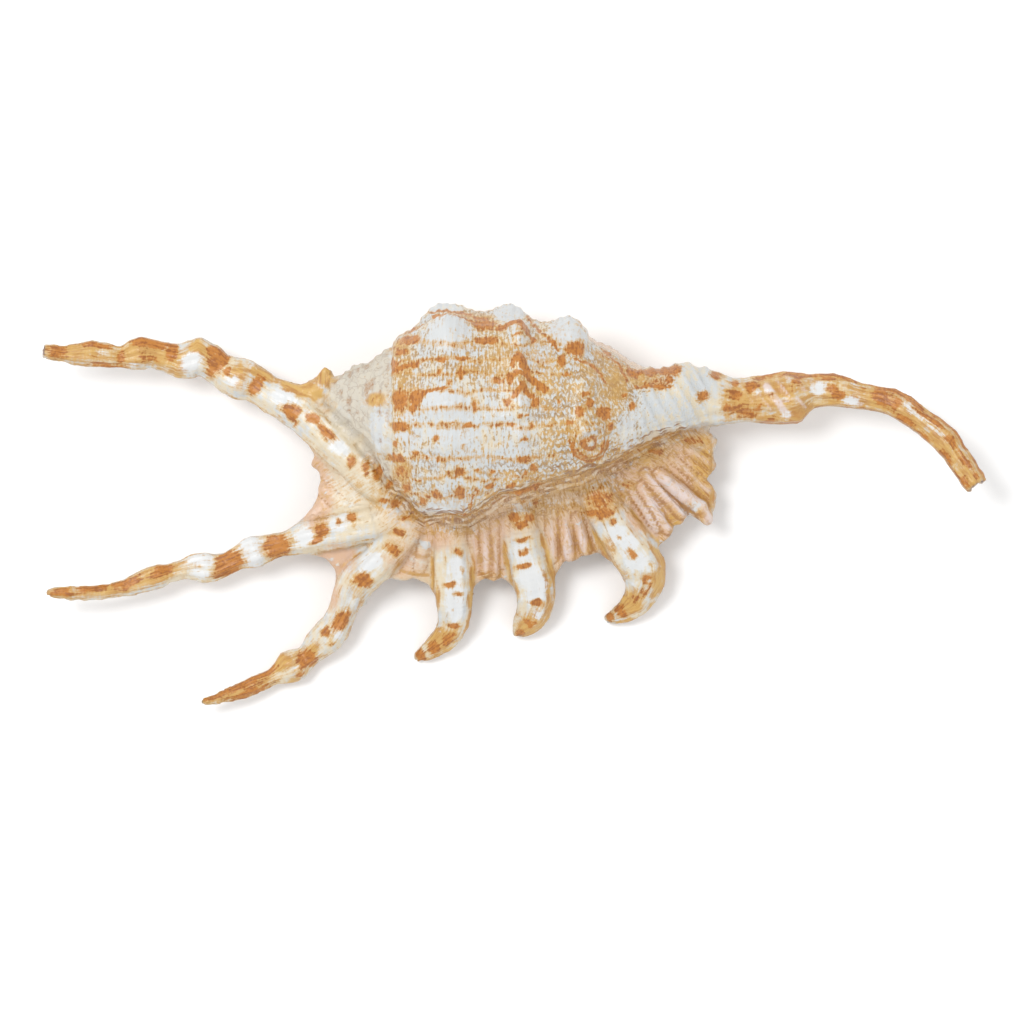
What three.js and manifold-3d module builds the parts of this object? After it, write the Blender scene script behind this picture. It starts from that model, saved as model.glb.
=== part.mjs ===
// A spider conch shell, lying on its opening with the knobbed back up.
// Millimetres. +X runs from the spire to the siphonal canal, +Y is the side away from the
// fingered lip, +Z is up. The origin is on the surface that the shell rests on, under its middle.
import * as THREE from 'three';
import { mergeVertices } from 'three/addons/utils/BufferGeometryUtils.js';
import Module from 'manifold-3d';

const wasm = await Module();
wasm.setup();

// The coiled body, from the apex of the spire to the root of the canal. Each station is
// [x, back edge y, lip edge y, height of the middle, rise above it, drop below it].
const BODY_STATIONS = [
  [-31.4, 18.9, 16.4, 13.0, 1.2, 1.2],
  [-30.2, 21.4, 14.8, 13.0, 2.9, 2.8],
  [-28.4, 21.8, 13.0, 13.0, 4.6, 4.4],
  [-26.0, 23.2, 10.8, 13.0, 6.3, 6.0],
  [-23.7, 23.8, 8.8, 13.0, 7.8, 7.5],
  [-22.0, 25.2, 5.8, 13.2, 9.3, 8.8],
  [-20.3, 26.5, 3.5, 13.4, 10.4, 9.8],
  [-19.8, 27.2, 2.8, 13.5, 12.2, 10.2],
  [-18.3, 28.5, 1.0, 13.5, 13.8, 11.2],
  [-16.3, 29.2, -0.8, 13.5, 15.2, 12.2],
  [-14.0, 30.3, -2.0, 13.5, 16.4, 13.0],
  [-10.8, 31.4, -2.7, 13.5, 17.3, 13.4],
  [-7.0, 31.8, -2.5, 13.5, 17.4, 13.5],
  [-2.0, 32.0, -1.3, 13.5, 17.0, 13.5],
  [3.0, 30.6, 0.2, 13.5, 16.3, 13.4],
  [8.0, 29.7, 2.0, 13.3, 15.3, 13.0],
  [13.0, 27.2, 3.7, 12.8, 13.6, 12.2],
  [16.3, 25.9, 5.2, 12.4, 12.0, 11.4],
  [20.5, 23.2, 7.8, 11.8, 9.8, 10.0],
  [24.7, 22.7, 10.2, 11.0, 8.0, 8.5],
  [28.8, 23.4, 11.8, 10.3, 6.8, 7.2],
  [32.2, 22.2, 13.2, 10.0, 4.6, 4.8],
  [34.5, 19.9, 15.5, 9.9, 2.6, 2.8],
];
const BODY_STEP = 1.55; // about how far apart the body's rings are
const BODY_SIDES = 42; // points in each ring

// Knobs on the body's spiral ridges. The angle goes round the body from the back edge (0)
// over the top (90) to the lip (180), in degrees. Each knob is
// [x, angle, half length along x, half width in degrees, height].
const BODY_KNOBS = [
  [-12.8, -3, 2.4, 13, 2.7],
  [-9.0, -2, 2.4, 13, 1.6],
  [-11.0, 33, 3.4, 11, 2.6],
  [-10.0, 82, 4.2, 16, 1.1],
  [-9.5, 165, 3.6, 16, 0.9],
  [0.1, -2, 2.6, 12, 2.2],
  [0.9, 38, 1.9, 8, 1.7],
  [1.0, 60, 1.8, 8, 0.9],
  [1.2, 77, 1.8, 8, 0.9],
  [1.4, 140, 2.2, 14, 0.7],
  [9.9, 20, 2.7, 17, 3.1],
  [12.6, 70, 2.0, 11, 0.8],
  [12.8, 102, 2.6, 15, 1.2],
  [28.6, 40, 2.4, 40, 0.7],
  // The smooth callus of the inner lip, which shows past the back edge near the canal.
  [16.6, -38, 4.6, 28, 1.9],
];

// The spiral ridges that cross the back and run out into the last three fingers. Each is
// [x, half length along x, height], at full height between the two angles.
const BODY_RIDGES = [
  [-10.6, 1.5, 0.55],
  [1.0, 1.3, 0.65],
  [11.6, 1.7, 0.75],
];
const RIDGE_FROM_ANGLE = 35;
const RIDGE_TO_ANGLE = 185;
const RIDGE_FADE = 22;

// The hollow behind the mouth. Its walls lie at shares of the body's own radius, and it curls
// from the mouth up over the columella to its innermost angle.
const HOLLOW_FROM = -15.0;
const HOLLOW_TO = 27.0;
const HOLLOW_STEPS = 14;
const HOLLOW_END_MARGIN = 0.02; // share of its length by which each end stops short of a point
const HOLLOW_BLUNTNESS = 2; // how soon it reaches its full size from either end
const HOLLOW_OUTER_SHARE = 0.86;
const HOLLOW_INNER_SHARE = 0.44;
const HOLLOW_INNERMOST_ANGLE = 62;
const HOLLOW_END_ANGLE = 170; // where the hollow stops curling at its two narrow ends
const HOLLOW_ARC_STEPS = 6;
const HOLLOW_CORNER = 6; // degrees that round its corners

// The mouth, between the edge of the lip and the columella, in degrees round the body.
const MOUTH_LIP_ANGLE = 200;
const MOUTH_COLUMELLA_ANGLE = 239;
const MOUTH_END_WIDTH = 8;
const MOUTH_COLUMELLA_SHARES = [0.72, 0.95]; // how far out the columella's wall bends and ends
const MOUTH_DEPTH = -2; // the mouth is cut straight down to here, clear of the shell

// The flared lip, from the first finger round to the canal. Each station is
// [inner x, inner y, edge x, edge y, edge z]. Those that reach furthest out are the ends of ribs.
const LIP_STATIONS = [
  [-26.7, 12.2, -36.0, 13.5, 9.5],
  [-25.7, 10.8, -33.5, 9.5, 9.0],
  [-24.8, 9.5, -32.8, 8.2, 8.8],
  [-24.3, 8.5, -33.8, 6.7, 8.4],
  [-23.8, 7.7, -32.1, 5.5, 8.4],
  [-23.0, 5.8, -31.7, 3.5, 8.3],
  [-22.0, 3.8, -32.7, 0.3, 8.2],
  [-21.0, 2.2, -34.8, -2.2, 8.2],
  [-20.3, 1.0, -37.0, -3.8, 8.0],
  [-19.5, 0.0, -37.0, -6.7, 7.0],
  [-18.7, -0.8, -34.3, -8.2, 7.2],
  [-17.8, -1.5, -31.3, -8.8, 7.2],
  [-17.0, -2.0, -29.5, -10.8, 7.0],
  [-16.2, -2.3, -29.5, -13.8, 6.4],
  [-15.3, -2.5, -27.2, -17.0, 5.4],
  [-14.3, -2.7, -24.5, -16.8, 5.6],
  [-13.5, -2.7, -22.7, -13.5, 6.8],
  [-12.7, -2.7, -20.2, -12.2, 7.2],
  [-11.8, -2.7, -18.3, -12.6, 7.4],
  [-11.0, -2.7, -16.5, -12.2, 7.2],
  [-10.5, -2.7, -14.0, -13.3, 6.8],
  [-9.8, -2.7, -12.0, -15.8, 6.0],
  [-9.2, -2.7, -7.7, -15.8, 6.0],
  [-8.2, -2.7, -6.3, -13.5, 6.8],
  [-7.0, -2.5, -4.6, -12.1, 7.2],
  [-5.3, -2.2, -3.0, -12.7, 7.9],
  [-3.7, -1.8, -1.6, -12.1, 7.2],
  [-2.0, -1.5, 0.2, -13.5, 6.8],
  [-0.3, -1.0, 1.7, -15.8, 6.0],
  [1.3, -0.5, 6.0, -15.5, 6.0],
  [3.0, 0.0, 7.3, -11.7, 6.8],
  [4.7, 0.5, 9.0, -9.1, 7.2],
  [6.0, 1.0, 10.3, -9.3, 8.0],
  [7.3, 1.5, 11.8, -8.3, 7.2],
  [8.7, 2.0, 13.0, -8.3, 8.0],
  [10.0, 2.5, 14.5, -7.8, 7.2],
  [11.3, 2.8, 16.8, -9.5, 6.8],
  [13.0, 3.3, 19.3, -11.7, 6.0],
  [14.7, 4.0, 23.8, -9.2, 6.0],
  [16.3, 5.0, 24.5, -6.8, 6.8],
  [17.7, 5.8, 26.5, -5.1, 7.6],
  [18.7, 6.5, 26.8, -3.3, 6.9],
  [19.7, 7.0, 28.3, -3.2, 7.9],
  [20.7, 7.7, 29.2, -1.3, 6.8],
  [21.7, 8.2, 32.7, -3.0, 8.6],
  [23.0, 8.8, 34.0, -0.3, 6.2],
  [24.3, 9.5, 34.2, 1.7, 6.4],
  [25.7, 10.2, 32.4, 4.3, 7.2],
  [27.0, 10.7, 34.3, 6.5, 8.3],
  [28.3, 11.2, 33.5, 8.5, 7.6],
  [29.7, 11.7, 34.4, 10.8, 8.6],
  [31.0, 12.2, 32.7, 12.4, 9.0],
  [32.5, 13.5, 33.5, 13.5, 9.2],
];
const LIP_CREASE_Z = 15.0; // height of the lip's top where it leaves the body
const LIP_CREASE_DROP = 0.0052; // the crease falls by this times the square of x
const LIP_HOLLOW = 1.25; // how strongly the flare is dished between crease and edge
const LIP_ROOT_UNDERSIDE = 4.6; // height of the lip's underside beside the mouth
const LIP_ROOT_CLIMB = 0.0028; // it climbs by this times the square of x
const LIP_ARCH = 1.1; // how far the underside arches between mouth and edge
const LIP_EDGE_THICKNESS = 1.7;
const LIP_INSET = 2.2; // how far the lip's root is sunk in the body
const LIP_POINTS_ACROSS = 6;

// The fingers, the spur beside the first and the siphonal canal. Each station, from root to tip,
// is [x, y, z of the middle, half width], and depth is the half height as a share of the width.
const FINGERS = {
  first: {
    depth: 0.86,
    stations: [
      [-17.6, 1.6, 9.6, 2.4],
      [-20.2, 1.9, 12.0, 3.0],
      [-23.4, 4.6, 12.4, 3.4],
      [-27.0, 8.6, 12.2, 3.6],
      [-31.0, 12.6, 11.4, 3.75],
      [-34.5, 16.0, 10.4, 4.1],
      [-38.2, 17.6, 9.4, 3.3],
      [-40.7, 18.8, 8.8, 3.0],
      [-42.8, 20.3, 8.5, 3.1],
      [-44.8, 21.0, 8.3, 3.6],
      [-47.2, 21.8, 8.1, 3.3],
      [-48.9, 22.8, 8.0, 2.8],
      [-50.4, 24.1, 8.0, 2.95],
      [-52.2, 24.9, 8.1, 3.4],
      [-54.0, 24.3, 8.1, 3.2],
      [-55.6, 24.1, 8.2, 3.0],
      [-57.3, 24.6, 8.4, 2.5],
      [-59.7, 25.3, 8.7, 2.4],
      [-61.7, 25.5, 9.0, 2.9],
      [-63.3, 25.1, 9.2, 2.6],
      [-65.3, 24.7, 9.5, 1.8],
      [-67.8, 25.1, 9.9, 2.1],
      [-70.0, 25.3, 10.2, 2.3],
      [-72.3, 25.1, 10.6, 1.9],
      [-74.8, 25.2, 11.0, 1.4],
      [-78.2, 25.7, 11.6, 1.15],
    ],
  },
  second: {
    depth: 0.86,
    stations: [
      [-16.0, 0.4, 10.0, 2.4],
      [-19.4, -1.8, 11.6, 2.8],
      [-23.0, -3.1, 10.6, 3.0],
      [-27.5, -4.0, 9.2, 3.0],
      [-32.0, -4.9, 8.2, 2.9],
      [-35.5, -5.8, 7.6, 2.6],
      [-37.8, -6.4, 7.0, 2.1],
      [-40.2, -6.9, 6.5, 2.1],
      [-42.3, -7.6, 6.1, 2.7],
      [-44.0, -8.0, 5.9, 2.75],
      [-45.8, -8.8, 5.8, 2.05],
      [-47.6, -9.8, 5.6, 1.95],
      [-49.7, -10.4, 5.5, 2.3],
      [-51.6, -10.45, 5.4, 2.55],
      [-53.3, -10.3, 5.4, 2.3],
      [-55.0, -10.7, 5.5, 1.6],
      [-57.0, -11.3, 5.6, 1.6],
      [-59.5, -12.0, 5.8, 2.05],
      [-61.6, -12.7, 6.0, 1.95],
      [-64.3, -13.7, 6.4, 1.5],
      [-67.2, -14.4, 6.9, 1.27],
      [-70.5, -14.7, 7.5, 1.25],
      [-73.7, -14.7, 8.1, 1.2],
      [-76.4, -14.6, 8.6, 1.0],
      [-77.6, -14.75, 8.8, 0.55],
    ],
  },
  third: {
    depth: 0.9,
    stations: [
      [-14.2, -0.6, 10.0, 2.4],
      [-17.0, -3.6, 11.4, 2.8],
      [-20.0, -6.8, 9.6, 3.0],
      [-23.0, -10.0, 7.9, 3.1],
      [-25.8, -12.4, 6.8, 3.2],
      [-27.4, -14.9, 6.0, 2.7],
      [-28.5, -18.0, 5.0, 2.55],
      [-29.4, -20.1, 4.4, 2.65],
      [-30.9, -21.9, 3.9, 2.9],
      [-32.8, -23.6, 3.4, 2.55],
      [-34.4, -25.3, 2.9, 1.9],
      [-36.0, -26.8, 2.6, 2.9],
      [-37.6, -27.2, 2.5, 2.8],
      [-38.9, -28.3, 2.5, 2.0],
      [-40.5, -29.0, 2.7, 1.4],
      [-42.8, -30.0, 3.0, 1.5],
      [-44.7, -30.9, 3.4, 1.55],
      [-47.8, -32.0, 4.1, 1.05],
      [-50.3, -32.75, 4.8, 0.8],
      [-52.2, -33.1, 5.3, 0.6],
    ],
  },
  fourth: {
    depth: 0.74,
    stations: [
      [-10.2, 1.0, 11.0, 2.4],
      [-10.2, -3.0, 12.4, 2.8],
      [-10.1, -6.2, 10.5, 3.1],
      [-10.0, -9.5, 8.6, 3.3],
      [-9.9, -12.5, 7.3, 3.45],
      [-9.8, -14.4, 6.6, 3.3],
      [-9.7, -16.5, 5.6, 3.1],
      [-9.7, -18.2, 4.8, 2.9],
      [-9.9, -19.9, 4.0, 2.7],
      [-10.6, -21.4, 3.2, 2.5],
      [-11.9, -22.9, 2.4, 2.15],
      [-13.5, -24.1, 1.8, 1.75],
      [-15.0, -25.1, 1.4, 1.25],
      [-16.3, -25.8, 1.2, 0.65],
    ],
  },
  fifth: {
    depth: 0.74,
    stations: [
      [1.0, 2.6, 11.4, 2.4],
      [1.2, -1.0, 12.8, 2.8],
      [1.6, -4.2, 10.8, 3.1],
      [2.2, -7.5, 9.0, 3.3],
      [3.0, -10.8, 7.7, 3.5],
      [3.7, -13.4, 6.4, 3.5],
      [4.0, -15.0, 5.6, 3.4],
      [3.9, -16.5, 4.8, 3.2],
      [3.5, -18.0, 3.9, 2.9],
      [2.8, -19.2, 3.1, 2.6],
      [2.0, -20.2, 2.4, 2.25],
      [1.1, -21.2, 1.9, 1.4],
      [0.4, -21.9, 1.6, 0.55],
    ],
  },
  sixth: {
    depth: 0.7,
    stations: [
      [12.4, 5.6, 11.2, 2.4],
      [14.0, 1.8, 12.6, 2.9],
      [15.8, -1.4, 10.9, 3.3],
      [18.0, -4.8, 9.1, 3.7],
      [20.5, -8.2, 7.5, 4.05],
      [22.0, -10.7, 6.1, 3.95],
      [22.2, -12.8, 5.0, 3.5],
      [21.7, -14.8, 3.9, 3.0],
      [20.6, -16.6, 2.9, 2.5],
      [18.8, -18.1, 2.0, 1.9],
      [16.9, -18.9, 1.5, 1.15],
      [15.6, -19.1, 1.3, 0.55],
    ],
  },
  canal: {
    depth: 0.92,
    stations: [
      [26.4, 17.4, 10.8, 3.8],
      [28.6, 17.6, 10.4, 5.3],
      [31.8, 17.8, 10.2, 5.25],
      [34.0, 17.5, 9.9, 4.65],
      [36.7, 17.3, 9.5, 3.85],
      [39.3, 17.5, 9.2, 3.75],
      [42.2, 17.5, 8.9, 4.1],
      [44.8, 17.7, 8.7, 4.45],
      [47.0, 17.9, 8.6, 4.5],
      [48.5, 18.6, 8.5, 3.6],
      [50.0, 18.9, 8.5, 2.95],
      [51.7, 19.1, 8.5, 2.85],
      [53.5, 19.2, 8.6, 2.8],
      [55.7, 18.7, 8.8, 2.6],
      [58.0, 18.1, 9.1, 2.25],
      [60.8, 17.7, 9.5, 2.1],
      [63.3, 17.2, 9.9, 2.25],
      [65.4, 16.0, 10.3, 2.3],
      [67.7, 14.3, 10.7, 2.2],
      [70.1, 12.6, 11.2, 2.3],
      [72.3, 10.6, 11.7, 2.3],
      [74.0, 8.1, 12.2, 2.1],
      [75.3, 6.2, 12.6, 2.1],
      [76.6, 4.1, 13.0, 2.1],
      [77.4, 2.9, 13.3, 1.9],
    ],
  },
  spur: {
    depth: 0.8,
    stations: [
      [-35.6, 17.4, 10.6, 2.4],
      [-32.8, 18.6, 11.4, 2.3],
      [-31.2, 20.4, 12.4, 1.6],
      [-30.8, 22.0, 13.3, 0.9],
      [-30.7, 22.9, 13.8, 0.45],
    ],
  },
};
const FINGER_SIDES = 10;

// The open groove along the underside of the canal, which runs out of the mouth.
const GROOVE_RADIUS = 1.0;
const GROOVE_SINK = 0.45; // how far the groove's middle lies above the canal's underside
const GROOVE_JOIN = 3; // how far past these stations it starts to follow the canal
const GROOVE_OVERRUN = 2; // how far it is cut on past the canal's tip
const GROOVE_STATIONS = [
  [22.0, 11.6, 3.0],
  [27.0, 14.2, 3.6],
  [31.5, 15.8, 4.7],
];

const REST_TRIM = 0.25; // the points that touch are worn flat by this much
const FLOOR_SIZE = 400;
const SHELL_COLOUR = 0xe9dcc4;
const SHELL_ROUGHNESS = 0.45;
const SAME_POINT = 1e-4; // points closer than this are one

// Joins rings of points, all with the same number of points, into one closed skin. Seen from the
// first ring towards the last, the points of each ring go clockwise.
function loft(rings) {
  const sides = rings[0].length;
  const positions = [];
  const index = [];
  rings.flat().forEach((p) => positions.push(p.x, p.y, p.z));
  for (let r = 0; r + 1 < rings.length; r++) {
    for (let s = 0; s < sides; s++) {
      const a = r * sides + s;
      const b = r * sides + ((s + 1) % sides);
      index.push(a, b, b + sides, a, b + sides, a + sides);
    }
  }
  const capCentre = (ring) => ring.reduce((sum, p) => sum.add(p), new THREE.Vector3()).divideScalar(sides);
  const first = rings[0];
  const last = rings[rings.length - 1];
  const lastStart = (rings.length - 1) * sides;
  [first, last].forEach((ring) => {
    const c = capCentre(ring);
    positions.push(c.x, c.y, c.z);
  });
  const firstCentre = rings.length * sides;
  for (let s = 0; s < sides; s++) {
    const next = (s + 1) % sides;
    index.push(firstCentre, next, s);
    index.push(firstCentre + 1, lastStart + s, lastStart + next);
  }
  const geometry = new THREE.BufferGeometry();
  geometry.setAttribute('position', new THREE.Float32BufferAttribute(positions, 3));
  geometry.setIndex(index);
  return geometry;
}

// A closed geometry as a solid for joining and cutting, turned the right way out if need be.
function solidOf(geometry) {
  const bare = geometry.clone();
  bare.deleteAttribute('normal');
  bare.deleteAttribute('uv');
  const merged = mergeVertices(bare, SAME_POINT);
  const make = (triVerts) =>
    new wasm.Manifold(
      new wasm.Mesh({ numProp: 3, vertProperties: merged.attributes.position.array, triVerts }),
    );
  const faces = new Uint32Array(merged.index.array);
  const solid = make(faces);
  if (solid.volume() > 0) return solid;
  for (let i = 0; i < faces.length; i += 3) [faces[i + 1], faces[i + 2]] = [faces[i + 2], faces[i + 1]];
  return make(faces);
}

function geometryOf(solid) {
  const mesh = solid.getMesh();
  const geometry = new THREE.BufferGeometry();
  geometry.setAttribute('position', new THREE.Float32BufferAttribute(mesh.vertProperties, 3));
  geometry.setIndex(new THREE.BufferAttribute(mesh.triVerts, 1));
  geometry.computeVertexNormals();
  return geometry;
}

// A smooth reading of one column of a table of stations, whose first column rises.
function readStations(stations, x) {
  const last = stations.length - 1;
  let i = 0;
  while (i < last - 1 && x > stations[i + 1][0]) i++;
  const [a, b] = [stations[i], stations[i + 1]];
  const before = stations[Math.max(i - 1, 0)];
  const after = stations[Math.min(i + 2, last)];
  const span = b[0] - a[0];
  const t = THREE.MathUtils.clamp((x - a[0]) / span, 0, 1);
  return a.slice(1).map((value, k) => {
    const column = k + 1;
    const slopeA = i === 0 ? (b[column] - value) / span : (b[column] - before[column]) / (b[0] - before[0]);
    const slopeB = i + 1 === last ? (b[column] - value) / span : (after[column] - value) / (after[0] - a[0]);
    const [t2, t3] = [t * t, t * t * t];
    return (
      (2 * t3 - 3 * t2 + 1) * value +
      (t3 - 2 * t2 + t) * span * slopeA +
      (3 * t2 - 2 * t3) * b[column] +
      (t3 - t2) * span * slopeB
    );
  });
}

// A point of the body's section at x, at an angle in degrees and a share of its radius.
function bodyPoint(x, angle, share = 1) {
  const [back, lip, middle, rise, drop] = readStations(BODY_STATIONS, x);
  const turn = THREE.MathUtils.degToRad(angle);
  const up = Math.sin(turn);
  return new THREE.Vector3(
    x,
    (back + lip) / 2 + ((back - lip) / 2) * share * Math.cos(turn),
    middle + (up > 0 ? rise : drop) * share * up,
  );
}

function knobHeight(x, angle) {
  return BODY_KNOBS.reduce((sum, [knobX, knobAngle, halfLength, halfWidth, height]) => {
    const along = (x - knobX) / halfLength;
    const round = (THREE.MathUtils.euclideanModulo(angle - knobAngle + 180, 360) - 180) / halfWidth;
    return sum + height * Math.exp(-(along * along + round * round));
  }, 0);
}

function ridgeHeight(x, angle) {
  const fade =
    THREE.MathUtils.smoothstep(angle, RIDGE_FROM_ANGLE - RIDGE_FADE, RIDGE_FROM_ANGLE) *
    (1 - THREE.MathUtils.smoothstep(angle, RIDGE_TO_ANGLE, RIDGE_TO_ANGLE + RIDGE_FADE));
  return BODY_RIDGES.reduce((sum, [ridgeX, halfLength, height]) => {
    const along = (x - ridgeX) / halfLength;
    return sum + height * fade * Math.exp(-along * along);
  }, 0);
}

function bodySolid() {
  const xs = [];
  BODY_STATIONS.slice(0, -1).forEach(([x], i) => {
    const span = BODY_STATIONS[i + 1][0] - x;
    const steps = Math.max(1, Math.round(span / BODY_STEP));
    for (let k = 0; k < steps; k++) xs.push(x + (span * k) / steps);
  });
  xs.push(BODY_STATIONS[BODY_STATIONS.length - 1][0]);
  const rings = xs.map((x) =>
    Array.from({ length: BODY_SIDES }, (_, s) => {
      const angle = (360 * s) / BODY_SIDES;
      const centre = bodyPoint(x, angle, 0);
      const skin = bodyPoint(x, angle);
      const outward = skin.clone().sub(centre).normalize();
      return skin.addScaledVector(outward, knobHeight(x, angle) + ridgeHeight(x, angle));
    }),
  );
  return solidOf(loft(rings));
}

// One ring of the hollow and its mouth at x, from the lip over the top and back down the
// columella. Fullness is 1 where the hollow has its full size and less towards its ends.
function hollowRing(x, fullness) {
  const middle = (HOLLOW_OUTER_SHARE + HOLLOW_INNER_SHARE) / 2;
  const half = ((HOLLOW_OUTER_SHARE - HOLLOW_INNER_SHARE) / 2) * fullness;
  const innermost = THREE.MathUtils.lerp(HOLLOW_END_ANGLE, HOLLOW_INNERMOST_ANGLE, fullness);
  const mouthMiddle = (MOUTH_LIP_ANGLE + MOUTH_COLUMELLA_ANGLE) / 2;
  const mouthWidth = MOUTH_COLUMELLA_ANGLE - MOUTH_LIP_ANGLE;
  const mouthHalf = THREE.MathUtils.lerp(MOUTH_END_WIDTH, mouthWidth, fullness) / 2;
  const lipSide = mouthMiddle - mouthHalf;
  const columellaSide = mouthMiddle + mouthHalf;
  const below = (p) => new THREE.Vector3(p.x, p.y, MOUTH_DEPTH);
  const wall = (from, share) =>
    Array.from({ length: HOLLOW_ARC_STEPS + 1 }, (_, s) =>
      bodyPoint(x, THREE.MathUtils.lerp(from, innermost + HOLLOW_CORNER, s / HOLLOW_ARC_STEPS), share),
    );
  const [bendShare, endShare] = MOUTH_COLUMELLA_SHARES;
  return [
    below(bodyPoint(x, lipSide)),
    bodyPoint(x, lipSide),
    ...wall(lipSide - HOLLOW_CORNER, middle + half),
    bodyPoint(x, innermost, middle),
    ...wall(lipSide, middle - half).reverse(),
    bodyPoint(x, columellaSide - HOLLOW_CORNER, bendShare),
    bodyPoint(x, columellaSide, endShare),
    below(bodyPoint(x, columellaSide)),
  ];
}

function hollowSolid() {
  const rings = Array.from({ length: HOLLOW_STEPS + 1 }, (_, k) => {
    const t = k / HOLLOW_STEPS;
    const inside = THREE.MathUtils.lerp(HOLLOW_END_MARGIN, 1 - HOLLOW_END_MARGIN, t);
    const fullness = Math.min(1, Math.sqrt(HOLLOW_BLUNTNESS * Math.sin(Math.PI * inside)));
    return hollowRing(THREE.MathUtils.lerp(HOLLOW_FROM, HOLLOW_TO, t), fullness);
  });
  return solidOf(loft(rings));
}

function lipSolid() {
  const rings = LIP_STATIONS.map(([innerX, innerY, edgeX, edgeY, edgeZ]) => {
    const crease = LIP_CREASE_Z - LIP_CREASE_DROP * innerX * innerX;
    const underside = LIP_ROOT_UNDERSIDE + LIP_ROOT_CLIMB * innerX * innerX;
    const root = new THREE.Vector2(innerX, innerY);
    const edge = new THREE.Vector2(edgeX, edgeY);
    const reach = edge.clone().sub(root);
    const sunk = root.clone().addScaledVector(reach.clone().normalize(), -LIP_INSET);
    const across = Array.from({ length: LIP_POINTS_ACROSS }, (_, s) => {
      const share = s / (LIP_POINTS_ACROSS - 1);
      const plan = sunk.clone().lerp(edge, share);
      const top = edgeZ + (crease - edgeZ) * Math.pow(1 - share, LIP_HOLLOW);
      const straight = THREE.MathUtils.lerp(underside, edgeZ - LIP_EDGE_THICKNESS, share);
      return { plan, top, bottom: straight + LIP_ARCH * Math.sin(Math.PI * share) };
    });
    const upper = across.map(({ plan, top }) => new THREE.Vector3(plan.x, plan.y, top));
    const lower = across.map(({ plan, bottom }) => new THREE.Vector3(plan.x, plan.y, bottom)).reverse();
    return [...upper, ...lower];
  });
  return solidOf(loft(rings));
}

// A finger: rings of an ellipse set square to a smooth route, closed flat at both ends.
function fingerSolid({ stations, depth }) {
  const route = new THREE.CatmullRomCurve3(stations.map(([x, y, z]) => new THREE.Vector3(x, y, z)));
  const up = new THREE.Vector3(0, 0, 1);
  const rings = stations.map(([x, y, z, halfWidth], i) => {
    const along = route.getTangent(i / (stations.length - 1));
    const side = new THREE.Vector3().crossVectors(up, along).normalize();
    const over = new THREE.Vector3().crossVectors(along, side);
    return Array.from({ length: FINGER_SIDES }, (_, s) => {
      const turn = (2 * Math.PI * s) / FINGER_SIDES;
      return new THREE.Vector3(x, y, z)
        .addScaledVector(side, halfWidth * Math.cos(turn))
        .addScaledVector(over, halfWidth * depth * Math.sin(turn));
    });
  });
  return solidOf(loft(rings));
}

function grooveSolid() {
  const canal = FINGERS.canal;
  const under = canal.stations
    .filter(([x]) => x > GROOVE_STATIONS[GROOVE_STATIONS.length - 1][0] + GROOVE_JOIN)
    .map(([x, y, z, halfWidth]) => [x, y, z - halfWidth * canal.depth + GROOVE_SINK]);
  const points = [...GROOVE_STATIONS, ...under].map((p) => new THREE.Vector3(...p));
  const beyond = points[points.length - 1].clone().sub(points[points.length - 2]).normalize();
  points.push(points[points.length - 1].clone().addScaledVector(beyond, GROOVE_OVERRUN));
  const stations = points.map((p) => [p.x, p.y, p.z, GROOVE_RADIUS]);
  return fingerSolid({ stations, depth: 1 });
}

// Everything below the surface that the shell rests on.
function floorSolid() {
  const block = new THREE.BoxGeometry(FLOOR_SIZE, FLOOR_SIZE, FLOOR_SIZE);
  block.translate(0, 0, -FLOOR_SIZE / 2);
  return solidOf(block);
}

function shellSolid() {
  const grown = Object.values(FINGERS).reduce(
    (sum, finger) => sum.add(fingerSolid(finger)),
    bodySolid().add(lipSolid()),
  );
  const open = grown.subtract(hollowSolid()).subtract(grooveSolid());
  return open.translate([0, 0, -REST_TRIM]).subtract(floorSolid());
}

const material = new THREE.MeshStandardMaterial({
  color: SHELL_COLOUR,
  roughness: SHELL_ROUGHNESS,
  metalness: 0,
});
const shell = new THREE.Mesh(geometryOf(shellSolid()), material);
shell.name = 'shell';

const object = new THREE.Group();
object.add(shell);

export default object;
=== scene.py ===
"""An empty spider conch shell, lying on its mouth as on a shelf.

The shell grew in one piece, so there is one visible piece, conch. It starts as a copy of the solid
shell, gets a fine skin, then the cords, nodules, folds and ribs of the real one, and last the places
of its rust marks, creams, golds and blushes, which the material reads. All sizes in the tables are
in millimetres, in the shell's own frame.
"""
import bpy
import math
import numpy as np
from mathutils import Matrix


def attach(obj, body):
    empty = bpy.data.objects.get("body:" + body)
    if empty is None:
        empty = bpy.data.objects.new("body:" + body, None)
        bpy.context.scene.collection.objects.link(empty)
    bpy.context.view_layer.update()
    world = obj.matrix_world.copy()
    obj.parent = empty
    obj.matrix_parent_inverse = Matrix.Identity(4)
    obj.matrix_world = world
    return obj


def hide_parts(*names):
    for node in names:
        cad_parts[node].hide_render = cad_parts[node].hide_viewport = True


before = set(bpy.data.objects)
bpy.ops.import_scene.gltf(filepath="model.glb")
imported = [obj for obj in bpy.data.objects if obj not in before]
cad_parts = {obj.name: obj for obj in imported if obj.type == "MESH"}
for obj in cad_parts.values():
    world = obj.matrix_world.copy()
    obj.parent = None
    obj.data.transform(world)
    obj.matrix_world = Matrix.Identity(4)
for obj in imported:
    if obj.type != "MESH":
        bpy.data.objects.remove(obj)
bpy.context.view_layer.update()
bpy.ops.object.select_all(action="DESELECT")

MM = 0.001

# The skin: how fine it is, and how it is evened out
SKIN_CELL = 0.437
EVEN_ROUNDS = 18
EVEN_IN = 0.5
EVEN_OUT = -0.53

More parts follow.
